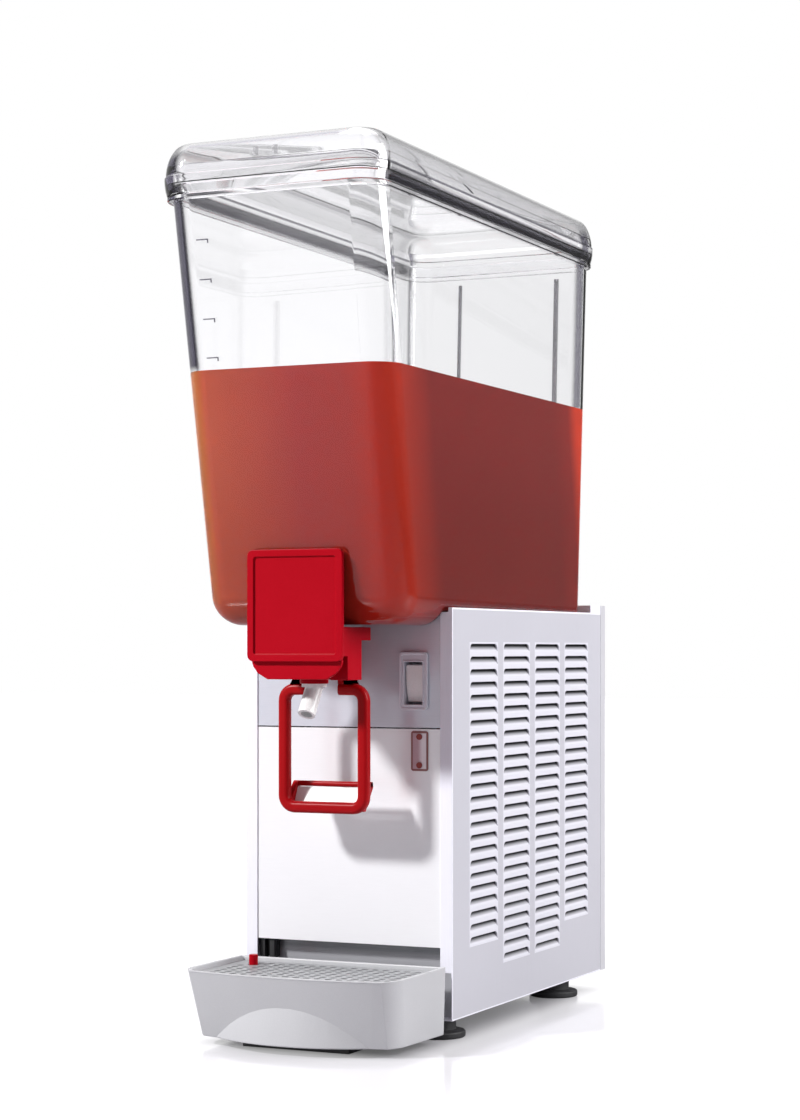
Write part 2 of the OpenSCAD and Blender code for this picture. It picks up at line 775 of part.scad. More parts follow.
module tap_piston() {
    color("white") {
        translate([0, tap_y, 0]) difference() {
            union() {
                translate([0, 0, seat_z + 2]) cylinder(r = 6.3, h = 3);
                translate([0, 0, seat_z + 2]) cylinder(r = 3, h = 16);
                translate([0, 0, z_nose - 27]) cylinder(r = piston_r, h = 17);
            }
            translate([0, 0, z_nose - 25.5]) difference() {
                cylinder(r = 12, h = 2);
                cylinder(r = piston_r - 1.8, h = 2);
            }
        }
        rod_x(-20.5, 20.5, tap_y, piv_z, pin_r);
    }
}

module piston_seals() {
    color("black") translate([0, tap_y, 0]) {
        translate([0, 0, seat_z]) cylinder(r = 6.3, h = 2);
        translate([0, 0, z_nose - 24.5]) rotate_extrude() translate([piston_r - 0.85, 0]) circle(0.9);
    }
}

module spout() {
    color("white") translate([0, tap_y, seat_z]) difference() {
        union() {
            translate([0, 0, -5]) cylinder(r = bore_r - seat_fit, h = 5);
            translate([0, 0, -6.5]) cylinder(r = 9.6, h = 2.5);
            translate([0, 1.5, -4.5]) rotate([147.5, 0, 0]) cylinder(r = 6.8, h = 27);
        }
        translate([0, 0, -6]) cylinder(r = 4.4, h = 10);
        translate([0, 1.5, -4.5]) rotate([147.5, 0, 0]) cylinder(r = 4.4, h = 40);
        translate([0, 0, -4]) cylinder(r = 4.4, h = 10);
    }
}

module outlet_seal() {
    color("black") translate([0, spigot_y, z_nose - 7.2]) rotate_extrude()
        translate([spigot_r + 0.75, 0]) circle(0.75);
}

module lever() {
    zc = loop_top - loop_h / 2;
    ya = loop_y - loop_bar / 2;
    yb = loop_y + loop_bar / 2;
    color("crimson") {
        along_y(ya, yb) translate([0, zc]) difference() {
            rrect(loop_w, loop_h, 13.5);
            rrect(loop_w - 2 * loop_bar, loop_h - 2 * loop_bar, 5);
            // the tap's channel passes between the arms
            block2([-arm_in, 0], [arm_in, loop_h]);
        }
        // arms that hold the piston pin between them
        for (s = [0, 1])
            mirror([s, 0, 0]) difference() {
                union() {
                    block([arm_in, ya, loop_top - loop_bar], [arm_in + 6, yb, piv_z + 4.5]);
                    block([arm_in, piv_y, piv_z - 4.5], [arm_in + 6, yb, piv_z + 4.5]);
                    rod_x(arm_in, arm_in + 6, piv_y, piv_z, 4.5);
                }
                rod_x(10, 25, piv_y, piv_z, pin_r + run_fit);
                block([10, tap_y - 3.2, piv_z - 2.6], [25, tap_y + 3.2, piv_z + 2.6]);
            }
        // cheeks behind the lower bar and the rod between them
        for (s = [0, 1])
            mirror([s, 0, 0]) along_x(loop_w / 2 - 9, loop_w / 2 - 5)
                translate([loop_y, loop_top - loop_h]) polygon([[0, 2], [4, 2], [17.5, 20], [16.5, 24],
                    [12.5, 23], [0, 8]]);
        rod_x(-loop_w / 2 + 5, loop_w / 2 - 5, loop_y + 15, loop_top - loop_h + 22, 2.2);
    }
}

// slanted plate that a cup pushes, held between the lever's cheeks above the lower bar
module lever_pad() {
    color("white") along_x(-loop_w / 2 + 9, loop_w / 2 - 9)
        translate([loop_y, loop_top - loop_h + loop_bar])
            polygon([[4.8, 2.9], [11.5, 10.9], [13, 9.6], [6.3, 1.6]]);
}

module lever_pin() {
    color("silver") rod_x(-38, 30, piv_y, piv_z, pin_r);
}

// drip tray

// outline of the tray: straight back, bowed front, round front corners
module tray_plan(half, front, inset, bow, r) {
    intersection() {
        plan(half - inset, front + inset, tray_rear - inset, r);
        translate([0, front + bow]) circle(bow - inset, $fn = 180);
    }
    block2([-half + inset, front / 2], [half - inset, tray_rear - inset]);
}

module block2(a, b) {
    translate(a) square(b - a);
}

module tray_slab(z, half, front, inset, bow, r) {
    translate([0, 0, z]) linear_extrude(0.1) tray_plan(half, front, inset, bow, r);
}

module drip_tray() {
    h = tray_w / 2;
    f = -tray_reach;
    w = tray_wall;
    color("silver") {
        difference() {
            union() {
                hull() {
                    tray_slab(z_tray - 0.1, h, f, 0, 360, 30);
                    tray_slab(tray_floor, h - 9, f + 21, 0, 300, 26);
                }
                // chin in the lower middle of the front
                intersection() {
                    translate([0, f + 9.5 + chin_r, tray_floor]) cylinder(r = chin_r, h = 36, $fn = 160);
                    block([-70, f, tray_floor], [70, f + 45, tray_floor + 36]);
                }
            }
            hull() {
                tray_slab(z_tray, h, f, w, 360, 27);
                tray_slab(ledge_z, h - 1.1, f + 2.5, w, 360, 27);
            }
            hull() {
                tray_slab(ledge_z, h - 1.1, f + 2.5, w + 3, 360, 24);
                tray_slab(tray_floor + w, h - 9, f + 21, w, 300, 23);
            }
        }
    }
}

module drip_grid() {
    h = tray_w / 2 - 1.1;
    f = -tray_reach + 2.5;
    color("darkgray") translate([0, 0, ledge_z + 0.1]) linear_extrude(grid_t) difference() {
        tray_plan(h, f, tray_wall + 0.5, 360, 26);
        for (i = [-8 : 8])
            for (j = [0 : 8])
                if (norm([i * grid_pitch - float_x, -24 - j * grid_pitch - float_y]) > 9.5)
                    if (abs(i) * grid_pitch < h - 12 && j * grid_pitch < 76)
                        translate([i * grid_pitch, -24 - j * grid_pitch]) circle(3, $fn = 24);
        translate([float_x, float_y]) circle(4.6);
    }
}

module tray_float() {
    color("red") translate([float_x, float_y, 0]) {
        translate([0, 0, tray_floor + tray_wall + 0.4]) cylinder(r = 10, h = 9);
        translate([0, 0, tray_floor + tray_wall + 5])
            cylinder(r = 3.5, h = ledge_z + 11 - tray_floor - tray_wall - 5);
    }
}

// the assembly

place() base_pan();
place() side_panel_right();
place() side_panel_left();
place() rear_panel();
place() top_deck();
place() upper_front_panel();
place() lower_front_panel();
place() kick_plate();
place() access_plate();
place() panel_screws();
place() feet();
place() foot_studs();
place() tray_bracket();
place() tray_clip();
place() cord_gland();
place() switch_bezel();
place() switch_rocker();
place() thermostat();
place() insulation();
place() evaporator();
place() evaporator_coil();
place() tank_gasket();
place() mixer_motor();
place() drive_magnet();
place() stirrer();
place() compressor();
place() compressor_mounts();
place() condenser();
place() fan_shroud();
place() fan_bracket();
place() fan_motor();
place() fan_blades();
place() filter_drier();
place() refrigerant_pipes();
place() tank();
place() lid();
place() tap_body();
place() tap_cover();
place() tap_cap();
place() tap_spring();
place() tap_piston();
place() piston_seals();
place() spout();
place() outlet_seal();
place() lever();
place() lever_pad();
place() lever_pin();
place() drip_tray();
place() drip_grid();
place() tray_float();
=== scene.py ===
# %% [markdown]
# # Dressing a cold drink dispenser
# The dispenser comes from CAD as separate named solids in metres, already in place.
# This lesson gives them their looks: the clear tank and lid, the drink behind the wall,
# the red tap, the satin sheet metal and the grey drip tray.
# Flat CAD edges catch no light, so most visible solids get a softened copy.

import bpy
import bmesh
import json
import math
from mathutils import Matrix, Vector


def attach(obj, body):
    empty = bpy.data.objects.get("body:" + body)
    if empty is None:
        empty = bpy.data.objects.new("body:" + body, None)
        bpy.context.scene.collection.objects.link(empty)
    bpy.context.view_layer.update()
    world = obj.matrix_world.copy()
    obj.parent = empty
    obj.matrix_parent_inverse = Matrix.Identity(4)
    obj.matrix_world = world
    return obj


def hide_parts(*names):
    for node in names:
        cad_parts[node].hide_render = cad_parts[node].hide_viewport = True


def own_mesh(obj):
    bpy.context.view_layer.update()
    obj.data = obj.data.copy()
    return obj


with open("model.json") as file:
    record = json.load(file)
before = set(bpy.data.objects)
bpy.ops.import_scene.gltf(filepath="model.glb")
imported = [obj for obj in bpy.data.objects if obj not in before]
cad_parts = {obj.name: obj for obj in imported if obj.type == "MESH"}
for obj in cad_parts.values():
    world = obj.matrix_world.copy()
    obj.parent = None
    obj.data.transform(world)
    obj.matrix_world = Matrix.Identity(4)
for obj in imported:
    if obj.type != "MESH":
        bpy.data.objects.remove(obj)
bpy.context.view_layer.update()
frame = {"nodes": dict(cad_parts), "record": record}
scene = bpy.context.scene

# %% [markdown]
# ## Working from the cabinet's front
# Every size on the real machine is easiest to read from the front plane of the cabinet, in
# millimetres. One small function turns such a size into a point of the shared frame.
# Sizes that several pieces share are named here once.

# %% Millimetres to metres
CABINET_FRONT = -0.09985  # metres
TANK_BOTTOM, TANK_RIM, TANK_STEP = 321.0, 650.0, -4.0
TANK_HALF, TANK_FRONT, TANK_BACK = (86.3, 88.9), (-74.3, -135.2), (298.8, 315.5)  # at the bottom, at the rim
WALL, DECK, DRINK_LEVEL = 3.0, 331.5, 513.0
DOME, OUTLET, SPRING_POCKET = (0, 150), (0, -28), (0, -57)
LOUVRE_COLUMN, LOUVRE_STEP, LOUVRE_ROWS = 62.7, 68.6, (24, 26, 26, 24)
LOUVRE_TOP, LOUVRE_PITCH = 300.5, 10.0


def at(x, y, z):
    return Vector((x / 1000, y / 1000 + CABINET_FRONT, z / 1000))


print("front plane of the cabinet:", at(0, 0, 0))

# %% [markdown]
# ## The camera
# The photograph looks at the machine from the right, level with the tap, through a long lens.
# A level camera with a little vertical shift keeps the upright edges upright, as in the photo.
# A camera tilted upward would frame the machine too, but its edges would lean together.

# %% Camera
camera_data = bpy.data.cameras.new("photo_camera")
camera_data.lens = 77.66
camera_data.sensor_width = 36.0
camera_data.shift_y = 0.080
camera = bpy.data.objects.new("photo_camera", camera_data)
camera.location = (0.836, -1.80085, 0.302)
camera.rotation_euler = (math.radians(90), 0, math.radians(24.92))
scene.collection.objects.link(camera)
scene.camera = camera
scene.view_settings.view_transform = "Standard"
print("camera at", tuple(camera.location))

# %% [markdown]
# ## Effects that several finishes share
# Brushed sheet, moulded plastic and cloudy drink all need a tone that wanders over the surface.
# It could be painted as an image, but a node group needs no file and fits a surface of any size.
# The group has named inputs, so a finish only sets its own values.


# %% Helper for node groups
def effect_group(name, inputs, outputs):
    group = bpy.data.node_groups.new(name, "ShaderNodeTree")
    for kind, label, value in inputs:
        socket = group.interface.new_socket(name=label, in_out="INPUT", socket_type=kind)
        socket.default_value = value
    for kind, label in outputs:
        group.interface.new_socket(name=label, in_out="OUTPUT", socket_type=kind)
    return group, group.nodes.new("NodeGroupInput"), group.nodes.new("NodeGroupOutput")


def calculated(tree, operation, *values):
    node = tree.nodes.new("ShaderNodeMath")
    node.operation = operation
    for i, value in enumerate(values):
        if isinstance(value, (int, float)):
            node.inputs[i].default_value = value
        else:
            tree.links.new(value, node.inputs[i])
    return node.outputs[0]


def ramped(tree, value, low, high, start=0.0, end=1.0, kind="SMOOTHSTEP"):
    node = tree.nodes.new("ShaderNodeMapRange")
    node.interpolation_type = kind
    for label, number in (("From Min", low), ("From Max", high), ("To Min", start), ("To Max", end)):
        node.inputs[label].default_value = number
    tree.links.new(value, node.inputs["Value"])
    return node.outputs["Result"]


def linear_share(tree, value, low, high, start=0.0, end=1.0):
    return ramped(tree, value, low, high, start, end, "LINEAR")


def stepped_colours(tree, value, stops):
    """colour ramp through (position, colour) pairs"""
    ramp = tree.nodes.new("ShaderNodeValToRGB")
    for i, (position, colour) in enumerate(stops):
        stop = ramp.color_ramp.elements[i] if i < 2 else ramp.color_ramp.elements.new(position)
        stop.position = position
        stop.color = (*colour, 1)
    tree.links.new(value, ramp.inputs["Fac"])
    return ramp.outputs["Color"]


def mixed(tree, share, first, second, mode="MIX"):
    """blends two colours, each a socket or a plain colour"""
    node = tree.nodes.new("ShaderNodeMix")
    node.data_type = "RGBA"
    node.blend_type = mode
    for socket, value in ((node.inputs[0], share), (node.inputs[6], first), (node.inputs[7], second)):
        if isinstance(value, bpy.types.NodeSocket):
            tree.links.new(value, socket)
        else:
            socket.default_value = (*value, 1) if isinstance(value, tuple) else value
    return node.outputs[2]


def group_node(tree, group, values=None):
    node = tree.nodes.new("ShaderNodeGroup")
    node.node_tree = group
    for label, value in (values or {}).items():
        node.inputs[label].default_value = value
    return node


def stretched_coordinates(group, entry):
    place = group.nodes.new("ShaderNodeTexCoord")
    stretch = group.nodes.new("ShaderNodeVectorMath")
    stretch.operation = "MULTIPLY"
    group.links.new(place.outputs["Object"], stretch.inputs[0])
    group.links.new(entry.outputs["Stretch"], stretch.inputs[1])
    return stretch.outputs["Vector"]


# %% Surface tone group
def build_surface_tone():
    group, entry, result = effect_group(
        "surface_tone",
        [
            ("NodeSocketVector", "Stretch", (1, 1, 1)),
            ("NodeSocketFloat", "Fine scale", 900.0),
            ("NodeSocketFloat", "Broad scale", 9.0),
            ("NodeSocketFloat", "Broad share", 0.5),
        ],
        [("NodeSocketFloat", "Tone"), ("NodeSocketFloat", "Height")],
    )
    place = stretched_coordinates(group, entry)
    plain = group.nodes.new("ShaderNodeTexCoord")
    fine = group.nodes.new("ShaderNodeTexNoise")
    fine.inputs["Detail"].default_value = 3.0
    broad = group.nodes.new("ShaderNodeTexNoise")
    broad.inputs["Detail"].default_value = 2.0
    group.links.new(place, fine.inputs["Vector"])
    group.links.new(plain.outputs["Object"], broad.inputs["Vector"])
    group.links.new(entry.outputs["Fine scale"], fine.inputs["Scale"])
    group.links.new(entry.outputs["Broad scale"], broad.inputs["Scale"])
    blend = group.nodes.new("ShaderNodeMix")
    blend.data_type = "FLOAT"
    group.links.new(entry.outputs["Broad share"], blend.inputs[0])
    group.links.new(fine.outputs["Fac"], blend.inputs[2])
    group.links.new(broad.outputs["Fac"], blend.inputs[3])
    group.links.new(blend.outputs[0], result.inputs["Tone"])
    group.links.new(fine.outputs["Fac"], result.inputs["Height"])
    return group


surface_tone = build_surface_tone()


# %% [markdown]
# ## Painted shade at thick edges
# Clear plastic looks dark where light has a long way through it: in the rounded corners and in the
# folds of the rim. Tracing that exactly needs many bounces, so a mask darkens those places: painted shade in
# the wall's colour.


# %% Painted shade at thick edges
def level_curve(tree, value, low, high, stops):
    """grey curve through (height, level) pairs"""
    greys = [((height - low) / (high - low), (level, level, level)) for height, level in stops]
    return stepped_colours(tree, linear_share(tree, value, low, high), greys)


def build_edge_smoke():
    group, _, result = effect_group(
        "painted_edge_shade",
        [],
        [("NodeSocketFloat", "Corner"), ("NodeSocketFloat", "Rim")],
    )

    def math_node(operation, *values):
        return calculated(group, operation, *values)

    shape = group.nodes.new("ShaderNodeNewGeometry")
    turned = group.nodes.new("ShaderNodeVectorMath")
    turned.operation = "ABSOLUTE"
    group.links.new(shape.outputs["Normal"], turned.inputs[0])
    axes = group.nodes.new("ShaderNodeSeparateXYZ")
    group.links.new(turned.outputs["Vector"], axes.inputs[0])
    steep = ramped(group, axes.outputs["Z"], 0.30, 0.70, 1.0, 0.5)
    rounded = ramped(group, math_node("MINIMUM", axes.outputs["X"], axes.outputs["Y"]), 0.08, 0.34)
    corner = math_node("MULTIPLY", rounded, steep)
    sideways = ramped(group, axes.outputs["X"], 0.12, 0.45, 0.06, 1.0)
    place = group.nodes.new("ShaderNodeTexCoord")
    height = group.nodes.new("ShaderNodeSeparateXYZ")
    group.links.new(place.outputs["Object"], height.inputs[0])
    # painted shade in bands across the tank's rim and the lid's skirt
    bands = [
        (0.6376, 0.0), (0.6384, 0.55), (0.6424, 0.65), (0.6436, 1.0), (0.6505, 0.93),
        (0.6524, 0.40), (0.6540, 0.40), (0.6549, 0.97), (0.6563, 0.97), (0.6576, 0.60),
        (0.6740, 0.55), (0.6765, 0.74), (0.6830, 0.77),
    ]
    rim = math_node("MULTIPLY", level_curve(group, height.outputs["Z"], 0.634, 0.684, bands), sideways)
    # the front right corner gets no painted shade, and nor does all that stands in the drink
    front_right, level = -0.19, DRINK_LEVEL / 1000
    near = math_node("SUBTRACT", height.outputs["Y"], height.outputs["X"])
    near = math_node("LESS_THAN", near, front_right)
    corner = math_node("MULTIPLY", corner, math_node("SUBTRACT", 1.0, near))
    corner = math_node("MULTIPLY", corner, ramped(group, height.outputs["Z"], level - 0.003, level + 0.004))
    group.links.new(corner, result.inputs["Corner"])
    group.links.new(rim, result.inputs["Rim"])
    return group


painted_edge_shade = build_edge_smoke()


# %% [markdown]
# ## Painted shade and highlights of the louvres
# A louvre is a tongue pressed into the sheet. The deeper a point lies behind the sheet, the less
# light reaches it, while the pressed edge shines; both are painted into the colour, as shade and as
# highlights, and so are bright borders where the sheet is bent. The renderer finds a part of that shade by
# itself.
# One mask made from the depth brings it to the strength that the photograph shows.


# %% Painted shade and highlights of the louvres
def build_slot_shade():
    group, entry, result = effect_group(
        "slot_shade",
        [
            ("NodeSocketFloat", "Face", 0.0898),
            ("NodeSocketFloat", "Painted fold highlight", 0.6),
            ("NodeSocketFloat", "Painted rim highlight", 0.3),
        ],
        [("NodeSocketFloat", "Light")],
    )

    def math_node(operation, *values):
        return calculated(group, operation, *values)

    place = group.nodes.new("ShaderNodeTexCoord")
    parts = group.nodes.new("ShaderNodeSeparateXYZ")
    group.links.new(place.outputs["Object"], parts.inputs[0])
    across, height = parts.outputs["Y"], parts.outputs["Z"]
    sunk = math_node("SUBTRACT", entry.outputs["Face"], math_node("ABSOLUTE", parts.outputs["X"]))
    # openings stand in four columns; the two in the middle are longer
    half_field, inner_half = 0.137, LOUVRE_STEP / 1000
    long_foot, short_foot, head = 0.0492, 0.0692, 0.3080
    front_fold, low_fold, high_fold = -0.0985, 0.0173, 0.3331
    first_column = LOUVRE_COLUMN / 1000 + CABINET_FRONT
    middle = first_column + 1.5 * LOUVRE_STEP / 1000
    from_column = math_node("PINGPONG", math_node("SUBTRACT", across, first_column), LOUVRE_STEP / 2000)
    column = ramped(group, from_column, 0.0282, 0.0296, 1.0, 0.0)
    from_middle = math_node("ABSOLUTE", math_node("SUBTRACT", across, middle))
    column = math_node("MULTIPLY", column, math_node("LESS_THAN", from_middle, half_field))
    foot = ramped(group, from_middle, inner_half - 0.0001, inner_half + 0.0001, long_foot, short_foot)
    rows = math_node("GREATER_THAN", height, foot)
    rows = math_node("MULTIPLY", rows, math_node("LESS_THAN", height, head))
    field = math_node("MULTIPLY", column, rows)
    # painted shade: the colour darkens with depth behind the sheet
    painted_depth_shade = math_node("MULTIPLY", math_node("MULTIPLY", ramped(group, sunk, 0.0006, 0.0030), field), 0.97)
    # painted highlight: a bright rim round each opening
    rim = math_node("MULTIPLY", ramped(group, sunk, 0.0004, 0.0012, 1.0, 0.0), field)
    rim = math_node("MULTIPLY", rim, entry.outputs["Painted rim highlight"])
    # painted highlight: bright borders at the front strip, the bottom and the top of the sheet
    painted_fold_highlight = math_node("LESS_THAN", across, front_fold)
    painted_fold_highlight = math_node("MAXIMUM", painted_fold_highlight, math_node("LESS_THAN", height, low_fold))
    painted_fold_highlight = math_node("MAXIMUM", painted_fold_highlight, math_node("GREATER_THAN", height, high_fold))
    painted_highlight = math_node("ADD", rim, math_node("MULTIPLY", painted_fold_highlight, entry.outputs["Painted fold highlight"]))
    group.links.new(math_node("ADD", math_node("SUBTRACT", 1.0, painted_depth_shade), painted_highlight), result.inputs["Light"])
    return group


slot_shade = build_slot_shade()
print("effect groups:", surface_tone.name, painted_edge_shade.name, slot_shade.name)

# %% [markdown]
# ## One builder for the opaque finishes
# Writing each material by hand would repeat the same nodes, so one function builds them all.
# A finish is two colours and two roughness values, chosen by the tone, and a faint bump.
# What is the same all over a surface, such as the metallic share, is set on the shader's own sockets.


# %% Finish builder
def opaque_finish(name, colours, roughness, grain, bump=(0.1, 0.0002), **constants):
    material = bpy.data.materials.new(name)
    material.use_nodes = True
    tree = material.node_tree
    shader = tree.nodes["Principled BSDF"]
    tone = group_node(tree, surface_tone, grain)
    share = linear_share(tree, tone.outputs["Tone"], 0.3, 0.7)
    tree.links.new(mixed(tree, share, *colours), shader.inputs["Base Color"])
    tree.links.new(linear_share(tree, share, 0.0, 1.0, *roughness), shader.inputs["Roughness"])
    relief = tree.nodes.new("ShaderNodeBump")
    relief.inputs["Strength"].default_value = bump[0]
    relief.inputs["Distance"].default_value = bump[1]
    tree.links.new(tone.outputs["Height"], relief.inputs["Height"])
    tree.links.new(relief.outputs["Normal"], shader.inputs["Normal"])
    for socket, value in constants.items():
        shader.inputs[socket.replace("_", " ").title().replace("Ior", "IOR")].default_value = value
    return material


def laid_over(material, mask, colour, mode="MIX"):
    """lays a colour over a finish where the mask is 1"""
    tree = material.node_tree
    base = tree.nodes["Principled BSDF"].inputs["Base Color"]
    tree.links.new(mixed(tree, mask, base.links[0].from_socket, colour, mode), base)
    return material


def object_axes(tree):
    place = tree.nodes.new("ShaderNodeTexCoord")
    parts = tree.nodes.new("ShaderNodeSeparateXYZ")
    tree.links.new(place.outputs["Object"], parts.inputs[0])
    return parts.outputs


# %% [markdown]
# ## The finishes
# Rolled and brushed sheet has its grain in one direction, so its noise is stretched. A moulding has
# a fine even grain from its mould, and castings, rubber and foam a coarser one.


# %% Finishes for the record's slots
SHEET_GRAIN = {"Stretch": (1, 1, 0.03), "Fine scale": 1400.0, "Broad scale": 5.0, "Broad share": 0.6}
ROLLED_GRAIN = {"Stretch": (0.04, 1, 1), "Fine scale": 1600.0, "Broad scale": 6.0, "Broad share": 0.45}
MOULD_GRAIN = {"Stretch": (1, 1, 1), "Fine scale": 1300.0, "Broad scale": 14.0, "Broad share": 0.5}
CAST_GRAIN = {"Stretch": (1, 1, 1), "Fine scale": 500.0, "Broad scale": 20.0, "Broad share": 0.4}

finishes = {
    "steel_panel": opaque_finish(
        "satin_cabinet_sheet", [(0.52, 0.52, 0.565), (0.58, 0.58, 0.625)], (0.30, 0.42), SHEET_GRAIN,
        bump=(0.05, 0.0001), metallic=0.35,
    ),
    "front_steel": opaque_finish(
        "satin_front_sheet", [(0.86, 0.86, 0.88), (0.89, 0.89, 0.91)], (0.28, 0.33), ROLLED_GRAIN,
        bump=(0.01, 0.0001), metallic=0.15,
    ),
    "polished_steel": opaque_finish(
        "polished_front_sheet", [(0.58, 0.595, 0.66), (0.63, 0.645, 0.71)], (0.20, 0.25), ROLLED_GRAIN,
        bump=(0.01, 0.0001), metallic=0.15,
    ),
    "inner_steel": opaque_finish(
        "plain_inner_sheet", [(0.45, 0.46, 0.47), (0.58, 0.59, 0.60)], (0.35, 0.55), CAST_GRAIN, metallic=1.0
    ),
    "red_plastic": opaque_finish(
        "red_tap_moulding", [(0.37, 0.0015, 0.008), (0.42, 0.0020, 0.011)], (0.30, 0.40), MOULD_GRAIN,
        bump=(0.04, 0.0001), specular_ior_level=0.06,
    ),
    "white_plastic": opaque_finish(
        "white_moulding", [(0.80, 0.80, 0.79), (0.86, 0.86, 0.85)], (0.22, 0.32), MOULD_GRAIN,
        bump=(0.03, 0.0001),
    ),
    "grey_plastic": opaque_finish(
        "grey_tray_moulding", [(0.50, 0.505, 0.52), (0.56, 0.565, 0.58)], (0.42, 0.55), MOULD_GRAIN,
        bump=(0.10, 0.0002),
    ),
    "grid_plastic": opaque_finish(
        "grey_grid_moulding", [(0.25, 0.255, 0.265), (0.36, 0.365, 0.38)], (0.30, 0.45), MOULD_GRAIN,
        bump=(0.10, 0.0002),
    ),
    "bezel_plastic": opaque_finish(
        "grey_bezel_moulding", [(0.66, 0.66, 0.72), (0.72, 0.72, 0.78)], (0.20, 0.30), MOULD_GRAIN,
        bump=(0.04, 0.0001),
    ),
    "black_rubber": opaque_finish(
        "black_foot_rubber", [(0.012, 0.012, 0.013), (0.025, 0.025, 0.027)], (0.5, 0.7), CAST_GRAIN
    ),
    "black_plastic": opaque_finish(
        "black_moulding", [(0.010, 0.010, 0.011), (0.02, 0.02, 0.022)], (0.35, 0.5), MOULD_GRAIN
    ),
    "black_steel": opaque_finish(
        "black_painted_steel", [(0.012, 0.012, 0.014), (0.022, 0.022, 0.025)], (0.3, 0.45), CAST_GRAIN
    ),
    "motor_steel": opaque_finish(
        "grey_motor_shell", [(0.12, 0.13, 0.14), (0.18, 0.19, 0.20)], (0.4, 0.55), CAST_GRAIN, metallic=0.6
    ),
    "copper": opaque_finish(
        "drawn_copper_tube", [(0.50, 0.20, 0.10), (0.62, 0.28, 0.16)], (0.25, 0.45), CAST_GRAIN, metallic=1.0
    ),
    "foam": opaque_finish(
        "yellow_foam_block", [(0.55, 0.45, 0.22), (0.68, 0.58, 0.32)], (0.8, 0.95), CAST_GRAIN,
        bump=(0.5, 0.001),
    ),
    "fin_aluminium": opaque_finish(
        "plain_fin_sheet", [(0.62, 0.63, 0.64), (0.72, 0.73, 0.74)], (0.3, 0.45), CAST_GRAIN, metallic=1.0
    ),
    "zinc": opaque_finish(
        "zinc_plated_steel", [(0.45, 0.46, 0.47), (0.58, 0.59, 0.60)], (0.25, 0.4), CAST_GRAIN, metallic=1.0
    ),
}
print("finishes:", len(finishes))


# %% [markdown]
# ## Clear plastic
# The tank and the lid are thick clear mouldings: a dielectric that lets light through and bends it.
# Low alpha would only fade the wall and bend nothing behind it, so the shader transmits instead.
# Painted shade darkens their edges where the wall is seen at a slant, and the roughness wanders a
# little, where hands and washing have dulled the polish.


# %% Clear wall finish
def clear_finish():
    material = bpy.data.materials.new("clear_tank_wall")
    material.use_nodes = True
    tree = material.node_tree
    shader = tree.nodes["Principled BSDF"]
    shader.inputs["Transmission Weight"].default_value = 1.0
    shader.inputs["IOR"].default_value = 1.49
    edge_shade_mask = group_node(tree, painted_edge_shade)
    slant = tree.nodes.new("ShaderNodeLayerWeight").outputs["Facing"]
    corner = calculated(tree, "MULTIPLY", edge_shade_mask.outputs["Corner"], ramped(tree, slant, 0.10, 0.32))
    rim = calculated(tree, "MULTIPLY", edge_shade_mask.outputs["Rim"], ramped(tree, slant, 0.20, 0.52))
    # painted shade: the wall's colour turns dark where the edge masks and the slant meet
    clear, painted_shade_colour = (0.985, 0.985, 0.995), (0.014, 0.012, 0.024)
    tint = mixed(tree, calculated(tree, "MAXIMUM", corner, rim), clear, painted_shade_colour)
    tree.links.new(tint, shader.inputs["Base Color"])
    tone = group_node(tree, surface_tone, {"Fine scale": 60.0, "Broad scale": 7.0})
    tree.links.new(ramped(tree, tone.outputs["Tone"], 0.5, 0.85, 0.0, 0.04), shader.inputs["Roughness"])
    return material


finishes["clear_plastic"] = clear_finish()
print("clear wall:", finishes["clear_plastic"].name)

# %% [markdown]
# ## Giving every solid its finish
# The record names a material slot for each node, so one loop dresses all of them.
# Pieces that are made below take the same finishes.

# %% Dress the solids
slot_of = {p["node"]: p["material_slot"] for p in frame["record"]["subparts"]}
body_of = {n: b for b, nodes in frame["record"]["behaviour"]["bodies"].items() for n in nodes}
for node, solid in frame["nodes"].items():
    for place in solid.material_slots:
        place.material = finishes[slot_of[node]]
print("dressed:", len(slot_of))


# %% [markdown]
# ## From bmesh to a finished piece
# All pieces end the same way: smooth faces, crisp where the shape turns, normals weighted by face
# area so that large flat walls stay flat, and a place on a moving body.


# %% Finishing a piece
def as_object(name, bm):
    mesh = bpy.data.meshes.new(name)
    bm.to_mesh(mesh)
    bm.free()
    piece = bpy.data.objects.new(name, mesh)
    scene.collection.objects.link(piece)
    return piece


def finished(piece, slot, body, nodes=(), crease=32, finish=None):
    piece.data.materials.clear()
    piece.data.materials.append(finish or finishes[slot])
    piece.data.shade_smooth()
    piece.data.set_sharp_from_angle(angle=math.radians(crease))
    weighted = piece.modifiers.new("even_normals", "WEIGHTED_NORMAL")
    weighted.keep_sharp = True
    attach(piece, body)
    if nodes:
        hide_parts(*nodes)
    print(piece.name, "faces:", len(piece.data.polygons))
    return piece


def carved(piece, cutter, operation="DIFFERENCE"):
    step = piece.modifiers.new("carve", "BOOLEAN")
    step.object = cutter
    step.operation = operation
    step.solver = "EXACT"
    graph = bpy.context.evaluated_depsgraph_get()
    mesh = bpy.data.meshes.new_from_object(piece.evaluated_get(graph))
    piece.modifiers.clear()
    piece.data = mesh
    bpy.data.objects.remove(cutter)
    return piece


# %% [markdown]
# ## Blocks to build with
# Most forms here are either carved, with bricks and upright cylinders, or lofted: rings of points
# with the same count are joined by faces, and the first and the last ring are closed. bridge_loops
# joins rings too, but it picks the partners itself, and for the lid it picks wrong ones.


# %% Basic cutters
def brick(name, low, high):
    bm = bmesh.new()
    bmesh.ops.create_cube(bm, size=1.0)
    bmesh.ops.scale(bm, vec=high - low, verts=bm.verts)
    bmesh.ops.translate(bm, vec=(high + low) / 2, verts=bm.verts)
    return as_object(name, bm)


